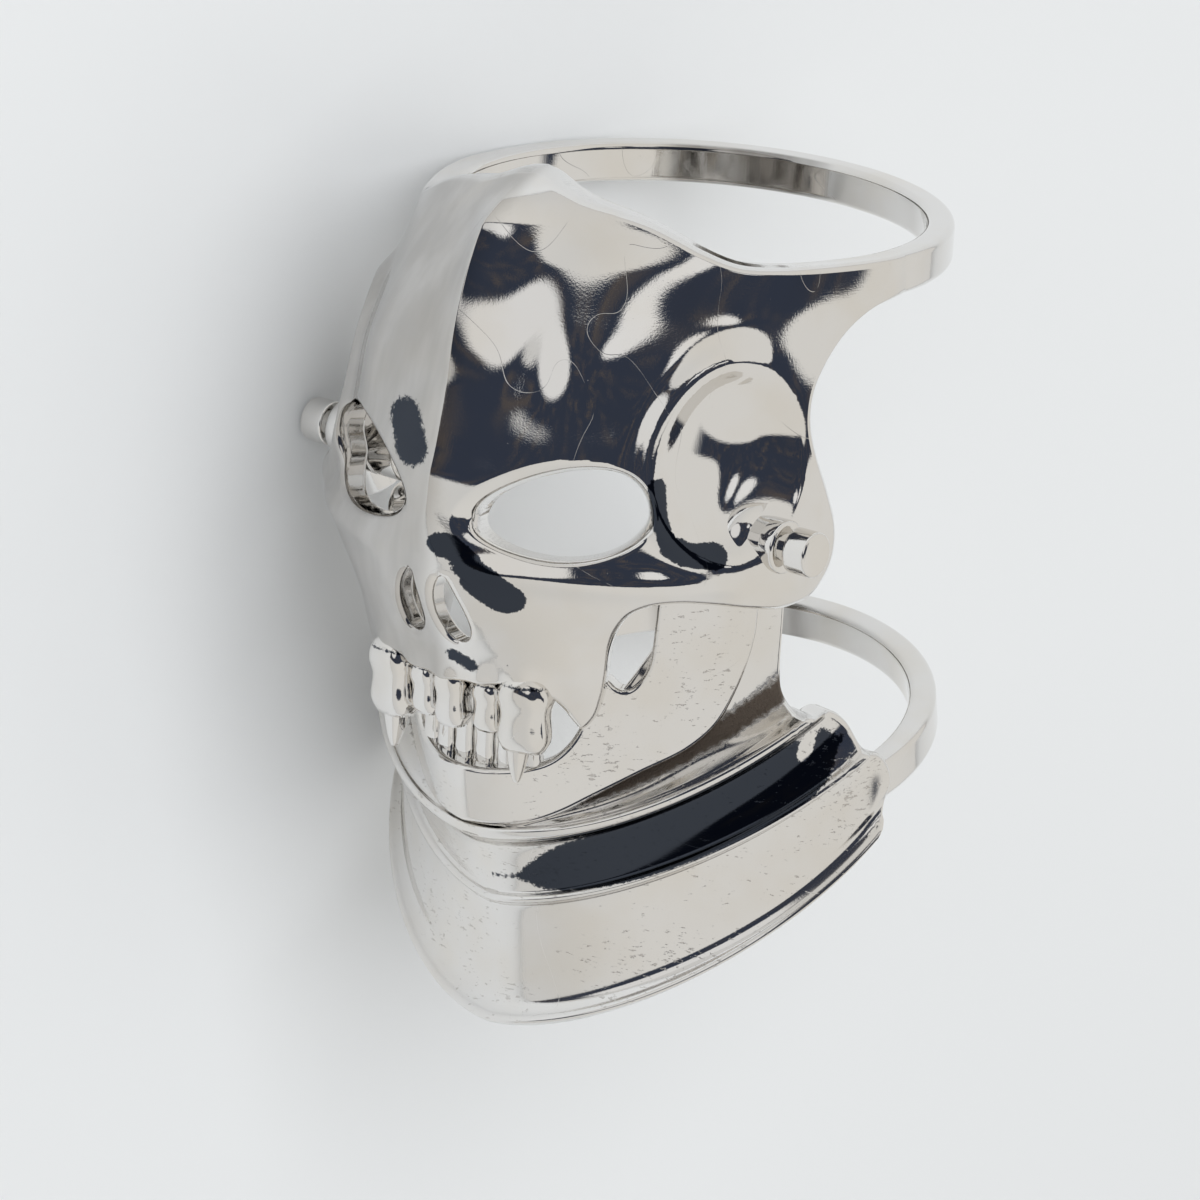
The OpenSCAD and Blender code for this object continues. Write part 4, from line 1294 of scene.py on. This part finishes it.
def collar_shading(u, v):
    """How deep in a recess a point of the collar is, and how blackened: partly painted dark reflection,
    partly patina.
    """
    a, d = np.abs(u) / DEG_MM, -v
    row = np.interp(d, [r[0] for r in COLLAR_ROWS], np.arange(len(COLLAR_ROWS)))
    row0, below, tall, start = SHELF
    shelf = hill((d - COLLAR_ROWS[row0][0] - below) / tall, 0) * soft(a / start)
    row0, tall, start, strength = FRINGE
    fringe = strength * hill((row - row0) / tall, 0) * soft(a / start)
    in_channel = np.minimum(row - column(CHANNEL, 1, a), column(CHANNEL, 2, a) - row)
    # The channel's black on one side, partly painted dark reflection and partly patina, less the pale spot
    black = np.where(u > 0, 0.5 + in_channel + fringe - spot(a, row, CHANNEL_SPOT), 0)
    return np.stack([np.maximum(shelf, spot(a, row, END_SPOT)), black, np.zeros_like(u)], 1)


class RINGS_OT_collar(bpy.types.Operator):
    """Builds the throat and the two-tier collar"""
    bl_idname = "rings.collar"
    bl_label = "Throat and collar"

    def execute(self, context):
        spacing, rim = sizes()
        bead = context.scene.ring_sizes.bead / MM
        casting = Casting()
        left = np.array([(row[6] + row[7], -at[0]) for row, at in zip(COLLAR, COLLAR_ROWS)])
        right = np.array([(-row[6], -at[0]) for row, at in zip(COLLAR, COLLAR_ROWS)])
        loop = np.vstack([flowing(left), flowing(right)[::-1]])
        add_plate(casting, [loop], lambda u, v: collar_surface(u, v, bead), spacing, rim, collar_shading)
        piece = casting.finish("throat_collar", metals()["Cast silver"], "jaw_half")
        return {"FINISHED"}


class RINGS_OT_lower_band(bpy.types.Operator):
    """Builds the lower finger band"""
    bl_idname = "rings.lower_band"
    bl_label = "Lower band"

    def execute(self, context):
        casting = Casting()
        add_band(casting, context.scene.ring_sizes.band_round / MM, LOWER_TILT, (0, LOWER_BACK, -LOWER_DROP))
        casting.finish("lower_band", metals()["Polished silver"], "jaw_half")
        return {"FINISHED"}


class RINGS_OT_rivets(bpy.types.Operator):
    """Builds the two hinge rivets"""
    bl_idname = "rings.rivets"
    bl_label = "Hinge rivets"

    def execute(self, context):
        for name, side in (("left", 1), ("right", -1)):
            casting = Casting()
            add_turned(casting, RIVET, side, RIVET_SIDES)
            casting.finish("rivet_" + name, metals()["Turned silver"], "mask_half", "hinge_rivet_" + name)
        return {"FINISHED"}


class RINGS_PT_panel(bpy.types.Panel):
    """Lists the ring's pieces"""
    bl_idname = "RINGS_PT_panel"
    bl_label = "Skull ring"
    bl_space_type = "VIEW_3D"
    bl_region_type = "UI"
    bl_category = "Skull ring"

    def draw(self, context):
        for step in STEPS:
            self.layout.operator(step.bl_idname, text=step.bl_label)
        for name in ("spacing", "rim", "band_round", "bead", "tooth_sides"):
            self.layout.prop(context.scene.ring_sizes, name)
        for name in ("silver", "tarnish", "painted_reflection_and_patina", "painted_shade", "floor", "roughness"):
            self.layout.prop(context.scene.ring_finish, name)


STEPS = [RINGS_OT_stage, RINGS_OT_mask, RINGS_OT_upper_teeth, RINGS_OT_jaw, RINGS_OT_collar,
         RINGS_OT_lower_band, RINGS_OT_rivets]
CLASSES = [RingSizes, RingFinish] + STEPS + [RINGS_PT_panel]


def register():
    """Registers the add-on's classes and its settings."""
    for cls in CLASSES:
        bpy.utils.register_class(cls)
    bpy.types.Scene.ring_sizes = PointerProperty(type=RingSizes)
    bpy.types.Scene.ring_finish = PointerProperty(type=RingFinish)


def unregister():
    """Takes the add-on's classes and settings away again."""
    del bpy.types.Scene.ring_finish
    del bpy.types.Scene.ring_sizes
    for cls in reversed(CLASSES):
        bpy.utils.unregister_class(cls)


def main():
    register()
    for step in STEPS:
        area, name = step.bl_idname.split(".")
        getattr(getattr(bpy.ops, area), name)()


if __name__ == "__main__":
    main()
